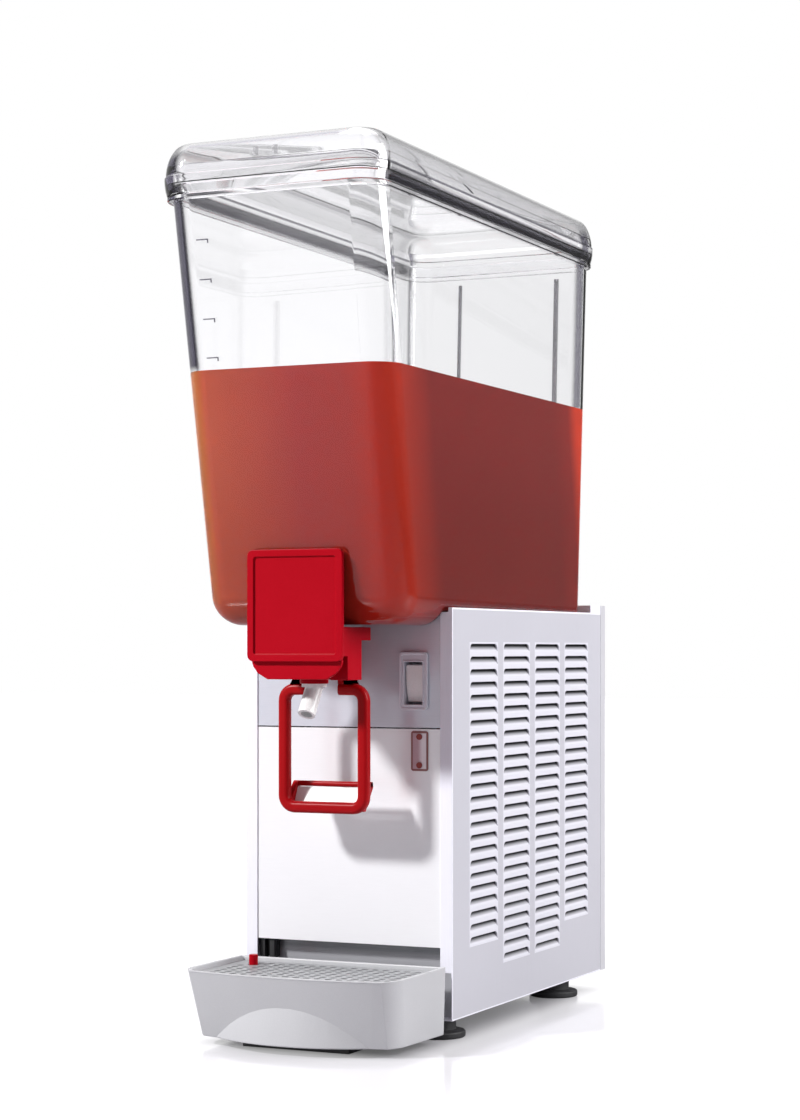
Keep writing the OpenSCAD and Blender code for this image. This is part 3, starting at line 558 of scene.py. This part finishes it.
def upright(name, centre, radius, z_low, z_high):
    bm = bmesh.new()
    bmesh.ops.create_cone(
        bm, cap_ends=True, segments=64, radius1=radius / 1000, radius2=radius / 1000,
        depth=(z_high - z_low) / 1000,
    )
    bmesh.ops.translate(bm, vec=at(centre[0], centre[1], (z_low + z_high) / 2), verts=bm.verts)
    return as_object(name, bm)


# %% Rounded outlines and lofts
def outline(width, depth, radius, steps=10):
    points = []
    for k, (sx, sy) in enumerate(((1, 1), (-1, 1), (-1, -1), (1, -1))):
        for i in range(steps + 1):
            turn = math.radians(90 * k + 90 * i / steps)
            x = sx * (width / 2 - radius) + radius * math.cos(turn)
            y = sy * (depth / 2 - radius) + radius * math.sin(turn)
            points.append((x, y))
    return points


def lofted(bm, rings):
    """joins each ring of points to the next one and closes both ends"""
    rows = [[bm.verts.new(point) for point in ring] for ring in rings]
    for low, high in zip(rows, rows[1:]):
        for i in range(len(low)):
            j = (i + 1) % len(low)
            bm.faces.new((low[i], low[j], high[j], high[i]))
    bm.faces.new(rows[0])
    bm.faces.new(rows[-1])
    bmesh.ops.recalc_face_normals(bm, faces=bm.faces)
    return bm


# %% [markdown]
# ## The tank's form
# The tank leans forward: its front wall is 61 mm further out at the rim than at the bottom.
# A cube whose corners are pulled to those places, with its upright and lower edges bevelled round,
# gives the whole form. A loft could do it too, but bevelled edges meet in round corners by themselves.
# The same function makes the inside and the drink, a little smaller.


# %% Tank form
def tank_wall(z, places):
    """place of a leaning wall at a height, from its places at the bottom and at the rim"""
    low, high = places
    return low + (high - low) * (z - TANK_BOTTOM) / (TANK_RIM - TANK_BOTTOM)


def tank_form(name, inset, floor, rim, radius):
    bm = bmesh.new()
    bmesh.ops.create_cube(bm, size=2.0)
    rear_drop = 3.0
    for corner in bm.verts:
        z = rim if corner.co.z > 0 else floor - (rear_drop if corner.co.y > 0 else 0.0)
        half = tank_wall(z, TANK_HALF) - inset
        front = tank_wall(z, TANK_FRONT) + inset
        back = tank_wall(z, TANK_BACK) - inset
        corner.co = at(math.copysign(half, corner.co.x), back if corner.co.y > 0 else front, z)
    top = rim / 1000 - 1e-6
    rounded = [e for e in bm.edges if min(v.co.z for v in e.verts) < top]
    bmesh.ops.bevel(
        bm, geom=rounded, offset=radius / 1000, offset_type="OFFSET", segments=12, profile=0.5,
        affect="EDGES", clamp_overlap=True, material=-1,
    )
    return as_object(name, bm)


# %% [markdown]
# ## The clear tank
# The wall is three millimetres thick, so the tank is the form minus a smaller one, as a mould has
# a cavity and a core. A thin shell could be made thick as well, but carving gives steps and holes too.
# It stands on the deck behind and hangs lower in front, has a ring for the lid, an outlet for the
# tap, a pocket for the tap's spring and a round hole for the cooling dome.


# %% Tank
def rounded_plate(name, half, front, back, radius, z_low, z_high, edge):
    bm = bmesh.new()
    middle = (front + back) / 2

    def ring(inset, z):
        section = outline(2 * (half - inset), back - front - 2 * inset, radius - inset)
        return [at(x, middle + y, z) for x, y in section]

    lofted(bm, [ring(edge, z_low), ring(0, z_low + edge), ring(0, z_high - edge), ring(edge, z_high)])
    return as_object(name, bm)


def clear_tank():
    below, pocket_radius, pocket_top, bore = 311.0, 12.5, 340.0, 7.0
    tank = tank_form("clear_tank", 0.0, TANK_BOTTOM, TANK_RIM, 22.0)
    carved(tank, brick("step", at(-120, TANK_STEP, below), at(120, 340, DECK)))
    ring = rounded_plate(
        "ring", half=91.9, front=-138.0, back=318.5, radius=23.0, z_low=638.0, z_high=642.0, edge=0.8
    )
    carved(tank, ring, "UNION")
    carved(tank, upright("outlet", OUTLET, bore + WALL, 295.0, 335.0), "UNION")
    hollow = tank_form("hollow", WALL, TANK_BOTTOM + WALL, TANK_RIM + 5.0, 21.0)
    carved(hollow, brick("floor", at(-120, TANK_STEP - WALL, below), at(120, 340, DECK + WALL)))
    carved(hollow, upright("pocket_wall", SPRING_POCKET, pocket_radius + WALL, below, pocket_top + WALL))
    carved(tank, hollow)
    carved(tank, upright("pocket", SPRING_POCKET, pocket_radius, below, pocket_top))
    carved(tank, upright("outlet_bore", OUTLET, bore, 281.0, 341.0))
    carved(tank, upright("dome_hole", DOME, 66.0, 321.5, 341.5))
    return finished(tank, "clear_plastic", "tank", ["tank"])


clear_tank()


# %% [markdown]
# ## Ribs and level marks
# Two upright ribs stiffen the rear wall, and four small hooks on the front wall show how full the
# tank is. Both look darker than the wall because light passes along them, not across, so they are
# small boxes whose darker finish paints that shade, and not part of the wall's mesh.


# %% Ribs and marks
def painted_dark_rib_finish():
    # painted shade: the darkness of the ribs and marks is laid into a dark finish
    return opaque_finish(
        "painted_dark_moulded_edge", [(0.10, 0.10, 0.13), (0.22, 0.21, 0.26)], (0.2, 0.35), MOULD_GRAIN,
        bump=(0.02, 0.0001), transmission_weight=0.35,
    )


def leaning_box(bm, x_low, x_high, z_low, z_high, near, far):
    """near and far give Y at the lower and the upper end"""
    rings = []
    for z, k in ((z_low, 0), (z_high, 1)):
        corners = ((x_low, near[k]), (x_high, near[k]), (x_high, far[k]), (x_low, far[k]))
        rings.append([at(x, y, z) for x, y in corners])
    lofted(bm, rings)


def moulded_marks():
    bm = bmesh.new()
    for x, width in ((-40.0, 2.2), (53.0, 3.4)):
        leaning_box(bm, x - width / 2, x + width / 2, 466.0, 632.0, (300.8, 309.1), (304.2, 312.4))
    for z in (522.0, 550.5, 579.5, 608.5):
        front = [tank_wall(h, TANK_FRONT) for h in (z - 3.0, z - 0.8, z)]
        near, far = [y - 0.3 for y in front], [y + 0.3 for y in front]
        leaning_box(bm, -63.0, -53.0, z - 0.8, z, near[1:], far[1:])
        leaning_box(bm, -53.9, -53.0, z - 3.0, z - 0.8, near[:2], far[:2])
    return finished(as_object("moulded_marks", bm), "clear_plastic", "tank", finish=painted_dark_rib_finish())


moulded_marks()

# %% [markdown]
# ## The lid
# The lid's wall is one closed profile carried round the rounded outline: down the inside, along the
# bottom of the skirt and up the outside. The skirt tucks in below, a crease runs round it, and a
# thick slanted shoulder rests above the tank's rim. A bevelled box would have none of these.


# %% Lid
def clear_lid():
    bm = bmesh.new()
    width, depth, middle = 187.4, 462.3, 89.85

    def ring(inset, z):
        radius = max(26.0 - 0.85 * inset, 5.0)
        return [at(x, middle + y, z) for x, y in outline(width - 2 * inset, depth - 2 * inset, radius)]

    def crown(low, high, start, reach):
        steps = 10
        for i in range(steps + 1):
            turn = math.radians(8 + 82 * i / steps)
            yield start + reach * (1 - math.cos(turn)), low + (high - low) * math.sin(turn)

    inside = list(reversed(list(crown(661.0, 678.6, 5.2, 12.5))))
    inside += [(5.7, 662.6), (8.3, 653.0), (8.5, 651.6), (7.9, 650.8)]
    inside += [(4.6, 650.8), (4.0, 650.0), (4.0, 642.5)]
    outside = [(3.6, 642.0), (2.2, 642.0), (1.8, 642.4), (0.9, 645.5)]
    outside += [(0.3, 649.5), (0.0, 653.8), (0.1, 655.4), (0.9, 656.2)]
    outside += list(crown(655.0, 681.0, 0.9, 14.5))
    lofted(bm, [ring(inset, z) for inset, z in inside + outside])
    for x in (-8.0, 8.0):
        leaning_box(bm, x - 0.8, x + 0.8, 665.0, 671.5, (-139.4, -138.0), (-132.0, -132.0))
    return finished(as_object("clear_lid", bm), "clear_plastic", "lid", ["lid"], 24)


clear_lid()

# %% [markdown]
# ## The drink
# The photograph shows the tank a little over half full of an opaque red drink. It is no part of the
# machine, but it fills the tank, so it rides with it. Its surface lies inside the clear wall,
# because a filled wall looks coloured right up to its edge. A hollow leaves the cooling dome free.
# The colour holds the drink's own red and paints light and shade onto it: a lit orange at the left
# edge, red in front, a shaded dull brown on the right, and a painted glow again at the far edge.


# %% Drink finish
DRINK_GRAIN = {"Stretch": (1, 1, 0.4), "Fine scale": 40.0, "Broad scale": 8.0, "Broad share": 0.6}


def drink_finish():
    material = opaque_finish(
        "red_drink", [(0.92, 0.90, 0.90), (1.0, 1.0, 1.0)], (0.5, 0.6), DRINK_GRAIN,
        bump=(0.0, 0.0001), specular_ior_level=0.0,
    )
    tree = material.node_tree
    shader = tree.nodes["Principled BSDF"]
    place = tree.nodes.new("ShaderNodeTexCoord")
    along = tree.nodes.new("ShaderNodeVectorMath")
    along.operation = "DOT_PRODUCT"
    along.inputs[1].default_value = (1.0, 1.0, 0.1853)
    tree.links.new(place.outputs["Object"], along.inputs[0])
    # the drink's red with painted light and shade: lit orange left edge, shaded brown right side, painted
    # glow at the far edge
    stops = [
        (0.000, (0.54, 0.40, 0.048)), (0.035, (0.47, 0.083, 0.034)), (0.17, (0.36, 0.031, 0.027)),
        (0.24, (0.36, 0.025, 0.018)), (0.28, (0.42, 0.018, 0.005)), (0.33, (0.42, 0.033, 0.016)),
        (0.43, (0.22, 0.018, 0.016)), (0.87, (0.215, 0.018, 0.016)), (0.938, (0.27, 0.020, 0.016)),
        (0.975, (0.62, 0.048, 0.015)),
    ]
    tint = stepped_colours(tree, linear_share(tree, along.outputs["Value"], -0.202, 0.37), stops)
    base = shader.inputs["Base Color"]
    tree.links.new(mixed(tree, 1.0, tint, base.links[0].from_socket, "MULTIPLY"), base)
    height = object_axes(tree)["Z"]
    # painted shade darker and warmer towards the bottom, painted light towards the top
    laid_over(material, ramped(tree, height, 0.46, 0.36), (0.94, 0.78, 0.66), "MULTIPLY")
    return laid_over(material, ramped(tree, height, 0.41, 0.50), (0.030, 0.005, 0.004), "ADD")


# %% Drink
def drink():
    inset = 1.4
    fill = tank_form("drink", inset, TANK_BOTTOM + inset, DRINK_LEVEL, 21.0)
    carved(fill, brick("under_drink", at(-120, TANK_STEP - inset, 311), at(120, 340, DECK + 1.5)))
    carved(fill, upright("dome_room", DOME, 63.0, 315.0, 481.0))
    return finished(fill, "red_plastic", "tank", finish=drink_finish())


drink()

# %% [markdown]
# ## Softened copies
# Pressed sheet and moulded plastic have small round edges that catch the light. A merged copy of
# the CAD mesh, with its sharp edges bevelled, shows them and replaces the solid in the picture.


# %% Softened copy of a solid
def merged_copy(node):
    bm = bmesh.new()
    bm.from_mesh(frame["nodes"][node].data)
    bmesh.ops.remove_doubles(bm, verts=bm.verts, dist=2e-6)
    bmesh.ops.dissolve_limit(
        bm, angle_limit=math.radians(0.5), use_dissolve_boundaries=False, verts=bm.verts, edges=bm.edges,
        delimit={"NORMAL"},
    )
    return bm


def soften_edges(bm, width, angle=28):
    sharp = [e for e in bm.edges if len(e.link_faces) == 2 and e.calc_face_angle() > math.radians(angle)]
    bmesh.ops.bevel(
        bm, geom=sharp, offset=width / 1000, offset_type="OFFSET", segments=2, profile=0.5,
        affect="EDGES", clamp_overlap=False, material=-1,
    )


def softened(node, width, finish=None):
    bm = merged_copy(node)
    soften_edges(bm, width)
    return finished(as_object("soft_" + node, bm), slot_of[node], body_of[node], [node], finish=finish)


for node, width in {
    "tap_cover": 0.7, "tap_body": 0.6, "switch_bezel": 0.4,
    "feet": 0.5, "tray_clip": 0.4, "tray_float": 0.5,
}.items():
    softened(node, width)


# %% [markdown]
# ## The drip tray
# A tray leaves its mould because its walls lean. On the real one they lean less than in the solid, so
# the copy's lower corners are moved outward and a little up. That leaves room below for a thicker
# support plate. A new tray would have to repeat the chin and the bowed front, which the copy keeps.


# %% Drip tray
def tray():
    """the walls stand steeper behind than in front"""
    top, height = 52.0, 48.0
    front_end, depth = -95.0, 85.0
    side_push, rear_push, front_push = 3.5, 4.0, 4.4
    bm = merged_copy("drip_tray")
    for corner in bm.verts:
        drop = max(0.0, (top - 1000 * corner.co.z) / height)
        back = (1000 * (corner.co.y - CABINET_FRONT) - front_end) / depth
        corner.co.x += math.copysign(drop * (side_push + rear_push * back) / 1000, corner.co.x)
        corner.co.y -= drop * front_push * (1.0 - back) / 1000
        corner.co.z += drop * 0.003
    soften_edges(bm, 0.9, 40)
    return finished(as_object("soft_drip_tray", bm), "grey_plastic", "drip_tray", ["drip_tray"], 12)


def tray_support():
    """the plate's upper face is raised by 3 mm"""
    bm = merged_copy("tray_bracket")
    for corner in bm.verts:
        if 0.003 < corner.co.z < 0.005:
            corner.co.z += 0.003
    soften_edges(bm, 0.4)
    return finished(as_object("soft_tray_bracket", bm), "black_steel", "cabinet", ["tray_bracket"])


tray()
tray_support()


# %% [markdown]
# ## The rocker
# A rocker is a bent key on a pin. Its side profile is carried across the switch, a little smaller at
# both ends, which rounds them, and tilted to its resting place about the pin.


# %% Rocker
def round_section(radius):
    turns = [math.radians(30 * i) for i in range(12)]
    return [(radius * math.cos(turn), radius * math.sin(turn)) for turn in turns]


def rocker():
    profile = [
        (-4.2, 0), (-3.6, 7), (-2.6, 14), (-1.6, 14.6), (5, 12),
        (5, -12), (-1.6, -14.6), (-2.6, -14), (-3.6, -7),
    ]
    pin_x, pin_y, pin_z = 57.6, 5, 276
    tilt = math.radians(8)
    c, s = math.cos(tilt), math.sin(tilt)
    rings = []
    for x, size in ((-6.9, 0.93), (-6.7, 0.97), (-6.2, 1.0), (6.2, 1.0), (6.7, 0.97), (6.9, 0.93)):
        turned = [(size * (y * c - z * s), size * (y * s + z * c)) for y, z in profile]
        rings.append([at(pin_x + x, pin_y + y, pin_z + z) for y, z in turned])
    bm = lofted(bmesh.new(), rings)
    lofted(bm, [[at(pin_x + x, pin_y + y, pin_z + z) for y, z in round_section(1.5)] for x in (-9.4, 9.4)])
    return finished(as_object("rocker", bm), "white_plastic", "rocker", ["switch_rocker"], 25)


rocker()


# %% [markdown]
# ## The side panels
# The louvres are the fine work of this cabinet: four columns of tongues, pressed inward so that air
# passes and fingers don't. The solid already has every tongue. The copy adds what pressing does to
# the sheet, which is stretched at both ends of a louvre and closes them.


# %% Side panels with dark slots
def louvred_finish():
    material = opaque_finish(
        "louvred_cabinet_sheet", [(0.52, 0.52, 0.565), (0.56, 0.56, 0.605)], (0.46, 0.56), SHEET_GRAIN,
        bump=(0.05, 0.0001), specular_ior_level=0.2,
    )
    tree = material.node_tree
    shader = tree.nodes["Principled BSDF"]
    shade = group_node(tree, slot_shade)
    # the Light value scales the colour: painted shade in the louvres, painted highlights at their rims and
    # the sheet's bent borders
    painted_light_scale = tree.nodes.new("ShaderNodeVectorMath")
    painted_light_scale.operation = "SCALE"
    tree.links.new(shader.inputs["Base Color"].links[0].from_socket, painted_light_scale.inputs[0])
    tree.links.new(shade.outputs["Light"], painted_light_scale.inputs["Scale"])
    tree.links.new(painted_light_scale.outputs["Vector"], shader.inputs["Base Color"])
    return material


def louvred_panel(node, side, finish):
    """a three-cornered cheek closes each end of a louvre"""
    bm = merged_copy(node)
    soften_edges(bm, 0.4)
    cheek, thick = [(89.3, -0.4), (89.3, 7.2), (84.7, 7.2)], 1.2
    for column, rows in enumerate(LOUVRE_ROWS):
        middle = LOUVRE_COLUMN + LOUVRE_STEP * column
        for row in range(rows):
            low = LOUVRE_TOP - LOUVRE_PITCH * row
            for y in (middle - 28.6, middle + 27.4):
                lofted(bm, [[at(side * x, y + d, low + z) for x, z in cheek] for d in (0.0, thick)])
    return finished(as_object("soft_" + node, bm), slot_of[node], body_of[node], [node], finish=finish)


louvred = louvred_finish()
louvred_panel("side_panel_right", 1, louvred)
louvred_panel("side_panel_left", -1, louvred)


# %% [markdown]
# ## Plates with their own finish
# The kick plate lies in shadow; its dark colour is painted shade, painted lighter along its lower edge.
# The rear panel's edges, where the sheet was bent, carry a painted highlight. The small plate under the seam
# has a brown rim and is held by two brown screws; its mauve, darker on the left, is painted shadow of the
# lever. Each could be split into pieces of one colour, but a mask on Object coordinates colours them without
# a seam.


# %% Kick plate and rear panel
def kick_finish():
    material = opaque_finish(
        "kick_steel_painted_shade", [(0.15, 0.155, 0.17), (0.25, 0.255, 0.27)], (0.25, 0.35), ROLLED_GRAIN,
        bump=(0.02, 0.0001), metallic=0.4,
    )
    tree = material.node_tree
    # painted shade: dark steel, painted lighter along the lower edge
    return laid_over(material, ramped(tree, object_axes(tree)["Z"], 0.067, 0.061), (0.50, 0.50, 0.53))


def rear_finish():
    material = opaque_finish(
        "satin_rear_sheet", [(0.52, 0.52, 0.565), (0.58, 0.58, 0.625)], (0.30, 0.42), SHEET_GRAIN,
        bump=(0.05, 0.0001), metallic=0.35,
    )
    tree = material.node_tree
    # painted highlight: the edges at both sides turn bright
    painted_fold_highlight = calculated(tree, "GREATER_THAN", calculated(tree, "ABSOLUTE", object_axes(tree)["X"]), 0.0896)
    return laid_over(material, painted_fold_highlight, (0.80, 0.80, 0.84))


plate_finishes = {
    "kick_plate": kick_finish(),
    "rear_panel": rear_finish(),
    "top_deck": finishes["front_steel"],
}
for node, finish in plate_finishes.items():
    for place in frame["nodes"][node].material_slots:
        place.material = finish
    print(node, "takes", finish.name)


# %% Access plate with a brown rim
def plate_finish():
    material = opaque_finish(
        "cover_plate_painted_shadow", [(0.48, 0.32, 0.36), (0.56, 0.38, 0.42)], (0.25, 0.4), MOULD_GRAIN,
        bump=(0.03, 0.0001),
    )
    tree = material.node_tree
    axes = object_axes(tree)
    middle_x, middle_z = 0.0622, 0.2235
    across = calculated(tree, "SUBTRACT", axes["X"], middle_x)
    along = calculated(tree, "ABSOLUTE", calculated(tree, "SUBTRACT", axes["Z"], middle_z))
    # painted shadow of the lever: mauve on the left, lighter to the right
    laid_over(material, ramped(tree, across, -0.002, 0.003), (0.88, 0.82, 0.85))
    wide = ramped(tree, calculated(tree, "ABSOLUTE", across), 0.0054, 0.0060)
    tall = ramped(tree, along, 0.0135, 0.0141)
    return laid_over(material, calculated(tree, "MAXIMUM", wide, tall), (0.24, 0.085, 0.08))


def screw_finish():
    material = opaque_finish(
        "panel_screw_heads", [(0.45, 0.46, 0.47), (0.58, 0.59, 0.60)], (0.3, 0.45), CAST_GRAIN, metallic=0.6
    )
    tree = material.node_tree
    in_front = calculated(tree, "LESS_THAN", object_axes(tree)["Y"], 0.0)
    return laid_over(material, in_front, (0.20, 0.035, 0.03))


softened("access_plate", 0.25, finish=plate_finish())
softened("panel_screws", 0.25, finish=screw_finish())

# %% [markdown]
# ## The lever
# The lever's loop is a round-edged square bar. Its section is carried along the loop's middle line
# and ends at the two arms, which come from the CAD copy. Cheeks and a thin rod hold the cup pad,
# a slanted white plate that a cup pushes back.


# %% Lever
LOOP_FRONT, LOOP_MIDDLE, PAD_FOOT = -40, 226, 176


def lever_finish():
    return opaque_finish(
        "dark_red_lever", [(0.31, 0.002, 0.004), (0.38, 0.003, 0.006)], (0.28, 0.38), MOULD_GRAIN,
        bump=(0.04, 0.0001), specular_ior_level=0.12,
    )


def lever_loop():
    bm = merged_copy("lever")
    whole = list(bm.verts) + list(bm.edges) + list(bm.faces)
    kept = bmesh.ops.bisect_plane(
        bm, geom=whole, plane_co=at(0, 0, 275.5), plane_no=(0, 0, 1), clear_inner=True
    )
    cut = [e for e in kept["geom_cut"] if isinstance(e, bmesh.types.BMEdge)]
    bmesh.ops.holes_fill(bm, edges=cut, sides=0)
    soften_edges(bm, 0.5)
    arm, straight_x, straight_z, bend, bar = 13.5, 25, 36.5, 9, 9
    stops = [(arm, straight_z + bend, 90)]
    for k, (sx, sz) in enumerate(((1, 1), (1, -1), (-1, -1), (-1, 1))):
        for i in range(9):
            turn = 90 - 90 * k - 90 * i / 8
            c, s = math.cos(math.radians(turn)), math.sin(math.radians(turn))
            stops.append((sx * straight_x + bend * c, sz * straight_z + bend * s, turn))
    stops.append((-arm, straight_z + bend, 90))
    rings = []
    for x, z, turn in stops:
        c, s = math.cos(math.radians(turn)), math.sin(math.radians(turn))
        section = outline(bar, bar, 3.2, 4)
        rings.append([at(x + c * u, LOOP_FRONT + v, LOOP_MIDDLE + z + s * u) for u, v in section])
    lofted(bm, rings)
    cheek = [(0, 2), (4, 2), (17.5, 20), (16.5, 24), (12.5, 23), (0, 8)]
    for x in (-33.5, 29.5):
        lofted(bm, [[at(x + d, LOOP_FRONT + y, PAD_FOOT + z) for y, z in cheek] for d in (0.0, 4.0)])
    lofted(bm, [[at(x, -25 + y, 198 + z) for y, z in round_section(2.2)] for x in (-33.5, 33.5)])
    return finished(as_object("lever_loop", bm), "red_plastic", "lever", ["lever"], 32, lever_finish())


def cup_pad():
    slope = [(5.0, 3.4), (12.6, 19.2), (13.2, 19.6), (14.4, 19.0), (14.6, 18.4), (6.8, 2.6)]
    rings = []
    for x, inset in ((-29.3, 0.3), (-29.0, 0.0), (29.0, 0.0), (29.3, 0.3)):
        rings.append([at(x, LOOP_FRONT + y - inset * 0.5, PAD_FOOT + z - inset) for y, z in slope])
    return finished(as_object("cup_pad", lofted(bmesh.new(), rings)), "white_plastic", "lever", ["lever_pad"])


lever_loop()
cup_pad()

# %% [markdown]
# ## Springs and coils
# A wound wire is a small circle carried round and along an axis, which is what a spin with a step
# does. The tap's spring presses the piston shut and shortens as the lever lifts it; the coil cools
# the dome from inside.


# %% Wound wires
def wound_wire(name, node, centre, radius, wire, z_low, pitch, turns, sides=10, steps=36):
    bm = bmesh.new()
    ring = bmesh.ops.create_circle(bm, cap_ends=False, radius=wire / 1000, segments=sides)
    stood_up = Matrix.Rotation(math.radians(90), 3, "X")
    bmesh.ops.rotate(bm, verts=ring["verts"], cent=(0, 0, 0), matrix=stood_up)
    bmesh.ops.translate(bm, verts=ring["verts"], vec=at(centre[0] + radius, centre[1], z_low))
    bmesh.ops.spin(
        bm, geom=list(bm.verts) + list(bm.edges), cent=at(centre[0], centre[1], 0), axis=(0, 0, 1),
        dvec=(0, 0, pitch / 1000 / steps), angle=math.radians(360 * turns), steps=int(steps * turns),
        use_merge=False,
    )
    bmesh.ops.holes_fill(bm, edges=[e for e in bm.edges if e.is_boundary], sides=0)
    bmesh.ops.recalc_face_normals(bm, faces=bm.faces)
    return finished(as_object(name, bm), slot_of[node], body_of[node], [node], 50)


spring_piece = wound_wire(
    "wound_tap_spring", "tap_spring", SPRING_POCKET, radius=5.2, wire=0.7, z_low=311.7, pitch=22.1 / 7,
    turns=7,
)
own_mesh(spring_piece)
wound_wire(
    "wound_cooling_coil", "evaporator_coil", DOME, radius=52.6, wire=4.0, z_low=337.0, pitch=10.0, turns=8.5,
    sides=12, steps=48,
)

# %% [markdown]
# ## The studio
# The photograph was cut out on white: a pale floor, a soft shadow and a faint mirror image.
# Real panels and a ceiling could stand around the machine, but the world can paint them by ray:
# reflections see bright upright panels with dark gaps, light through clear plastic comes from a white
# room with a darker ceiling, and the camera sees plain white.


# %% World
def studio_world():
    world = bpy.data.worlds.new("white_studio")
    scene.world = world
    world.use_nodes = True
    tree = world.node_tree
    tree.nodes.clear()

    def math_node(operation, *values):
        return calculated(tree, operation, *values)

    way = tree.nodes.new("ShaderNodeTexCoord")
    parts = tree.nodes.new("ShaderNodeSeparateXYZ")
    tree.links.new(way.outputs["Generated"], parts.inputs[0])

    def card(azimuth, inner, outer, level):
        """a bright upright panel, full within the inner angle and gone past the outer one"""
        c, s = math.cos(math.radians(azimuth)), math.sin(math.radians(azimuth))
        across = math_node("MULTIPLY", parts.outputs["X"], c)
        facing = math_node("ADD", across, math_node("MULTIPLY", parts.outputs["Y"], s))
        return ramped(tree, facing, math.cos(math.radians(outer)), math.cos(math.radians(inner)), 0.0, level)

    front_card = card(245, inner=26, outer=46, level=0.85)
    left_card = card(170, inner=25, outer=45, level=0.5)
    cards = math_node("ADD", math_node("ADD", front_card, left_card), 0.20)
    cards = math_node("ADD", cards, card(115, inner=22, outer=34, level=0.8))
    stops = [(0.0, (1, 1, 1)), (0.74, (1, 1, 1)), (0.88, (0.72, 0.70, 0.80)), (1.0, (0.25, 0.23, 0.30))]
    through = stepped_colours(tree, parts.outputs["Z"], stops)
    path = tree.nodes.new("ShaderNodeLightPath")
    colour = mixed(tree, path.outputs["Is Glossy Ray"], (0.19, 0.165, 0.19), cards)
    colour = mixed(tree, path.outputs["Is Transmission Ray"], colour, through)
    colour = mixed(tree, path.outputs["Is Camera Ray"], colour, (1, 1, 1))
    sky = tree.nodes.new("ShaderNodeBackground")
    tree.links.new(colour, sky.inputs["Color"])
    out = tree.nodes.new("ShaderNodeOutputWorld")
    tree.links.new(sky.outputs[0], out.inputs["Surface"])
    return world


print("world:", studio_world().name)


# %% [markdown]
# ## The floor
# The floor is a pale, slightly polished plane. To the eye, and through clear plastic, it glows
# towards white with distance, so that it has no edge. Under the machine the glow is held back, which paints a
# soft shadow there.


# %% Floor
def studio_floor():
    bm = bmesh.new()
    bmesh.ops.create_grid(bm, x_segments=1, y_segments=1, size=12.0)
    floor = as_object("studio_floor", bm)
    material = bpy.data.materials.new("pale_floor")
    material.use_nodes = True
    tree = material.node_tree
    shader = tree.nodes["Principled BSDF"]
    shader.inputs["Base Color"].default_value = (0.42, 0.41, 0.44, 1)
    shader.inputs["Roughness"].default_value = 0.12
    shader.inputs["Specular IOR Level"].default_value = 0.4
    place = tree.nodes.new("ShaderNodeTexCoord")
    away = tree.nodes.new("ShaderNodeVectorMath")
    away.operation = "LENGTH"
    tree.links.new(place.outputs["Object"], away.inputs[0])
    glow_level = ramped(tree, away.outputs["Value"], 0.30, 0.85, 0.44, 0.95)
    axes = object_axes(tree)
    # painted shadow: the glow drops over the machine's footprint
    beside = ramped(tree, calculated(tree, "ABSOLUTE", axes["X"]), 0.070, 0.105, 1.0, 0.0)
    from_middle = calculated(tree, "ABSOLUTE", calculated(tree, "SUBTRACT", axes["Y"], 0.02))
    beyond = ramped(tree, from_middle, 0.185, 0.225, 1.0, 0.0)
    under = calculated(tree, "MULTIPLY", calculated(tree, "MULTIPLY", beside, beyond), 0.75)
    glow_level = calculated(tree, "MULTIPLY", glow_level, calculated(tree, "SUBTRACT", 1.0, under))
    path = tree.nodes.new("ShaderNodeLightPath")
    glow = tree.nodes.new("ShaderNodeEmission")
    seen = calculated(tree, "MULTIPLY", path.outputs["Is Transmission Ray"], 0.85)
    seen = calculated(tree, "MAXIMUM", seen, path.outputs["Is Camera Ray"])
    tree.links.new(calculated(tree, "MULTIPLY", glow_level, seen), glow.inputs["Strength"])
    both = tree.nodes.new("ShaderNodeAddShader")
    tree.links.new(shader.outputs[0], both.inputs[0])
    tree.links.new(glow.outputs[0], both.inputs[1])
    tree.links.new(both.outputs[0], tree.nodes["Material Output"].inputs["Surface"])
    floor.data.materials.append(material)
    return floor


print("floor:", studio_floor().name)


# %% [markdown]
# ## The lamps
# A small lamp in front on the left draws the lever's shadow, a large one lights the louvred side,
# and a weak one hangs above. The camera doesn't see them, so none stands in the way of a view.


# %% Lamps
def softbox(name, place, target, width, height, power):
    data = bpy.data.lights.new(name, "AREA")
    data.shape = "RECTANGLE"
    data.size = width
    data.size_y = height
    data.energy = power
    lamp = bpy.data.objects.new(name, data)
    lamp.location = place
    lamp.rotation_euler = (Vector(target) - Vector(place)).to_track_quat("-Z", "Y").to_euler()
    lamp.visible_camera = False
    scene.collection.objects.link(lamp)
    return lamp


softbox("front_softbox", (-1.7, -2.2, 2.05), (0, -0.1, 0.3), width=0.32, height=0.32, power=130)
softbox("side_softbox", (2.2, 0.5, 1.3), (0, 0.05, 0.3), width=1.4, height=1.4, power=66)
softbox("top_softbox", (0.0, 0.3, 2.4), (0, 0, 0.3), width=1.6, height=1.6, power=18)
print("lamps:", len(bpy.data.lights))
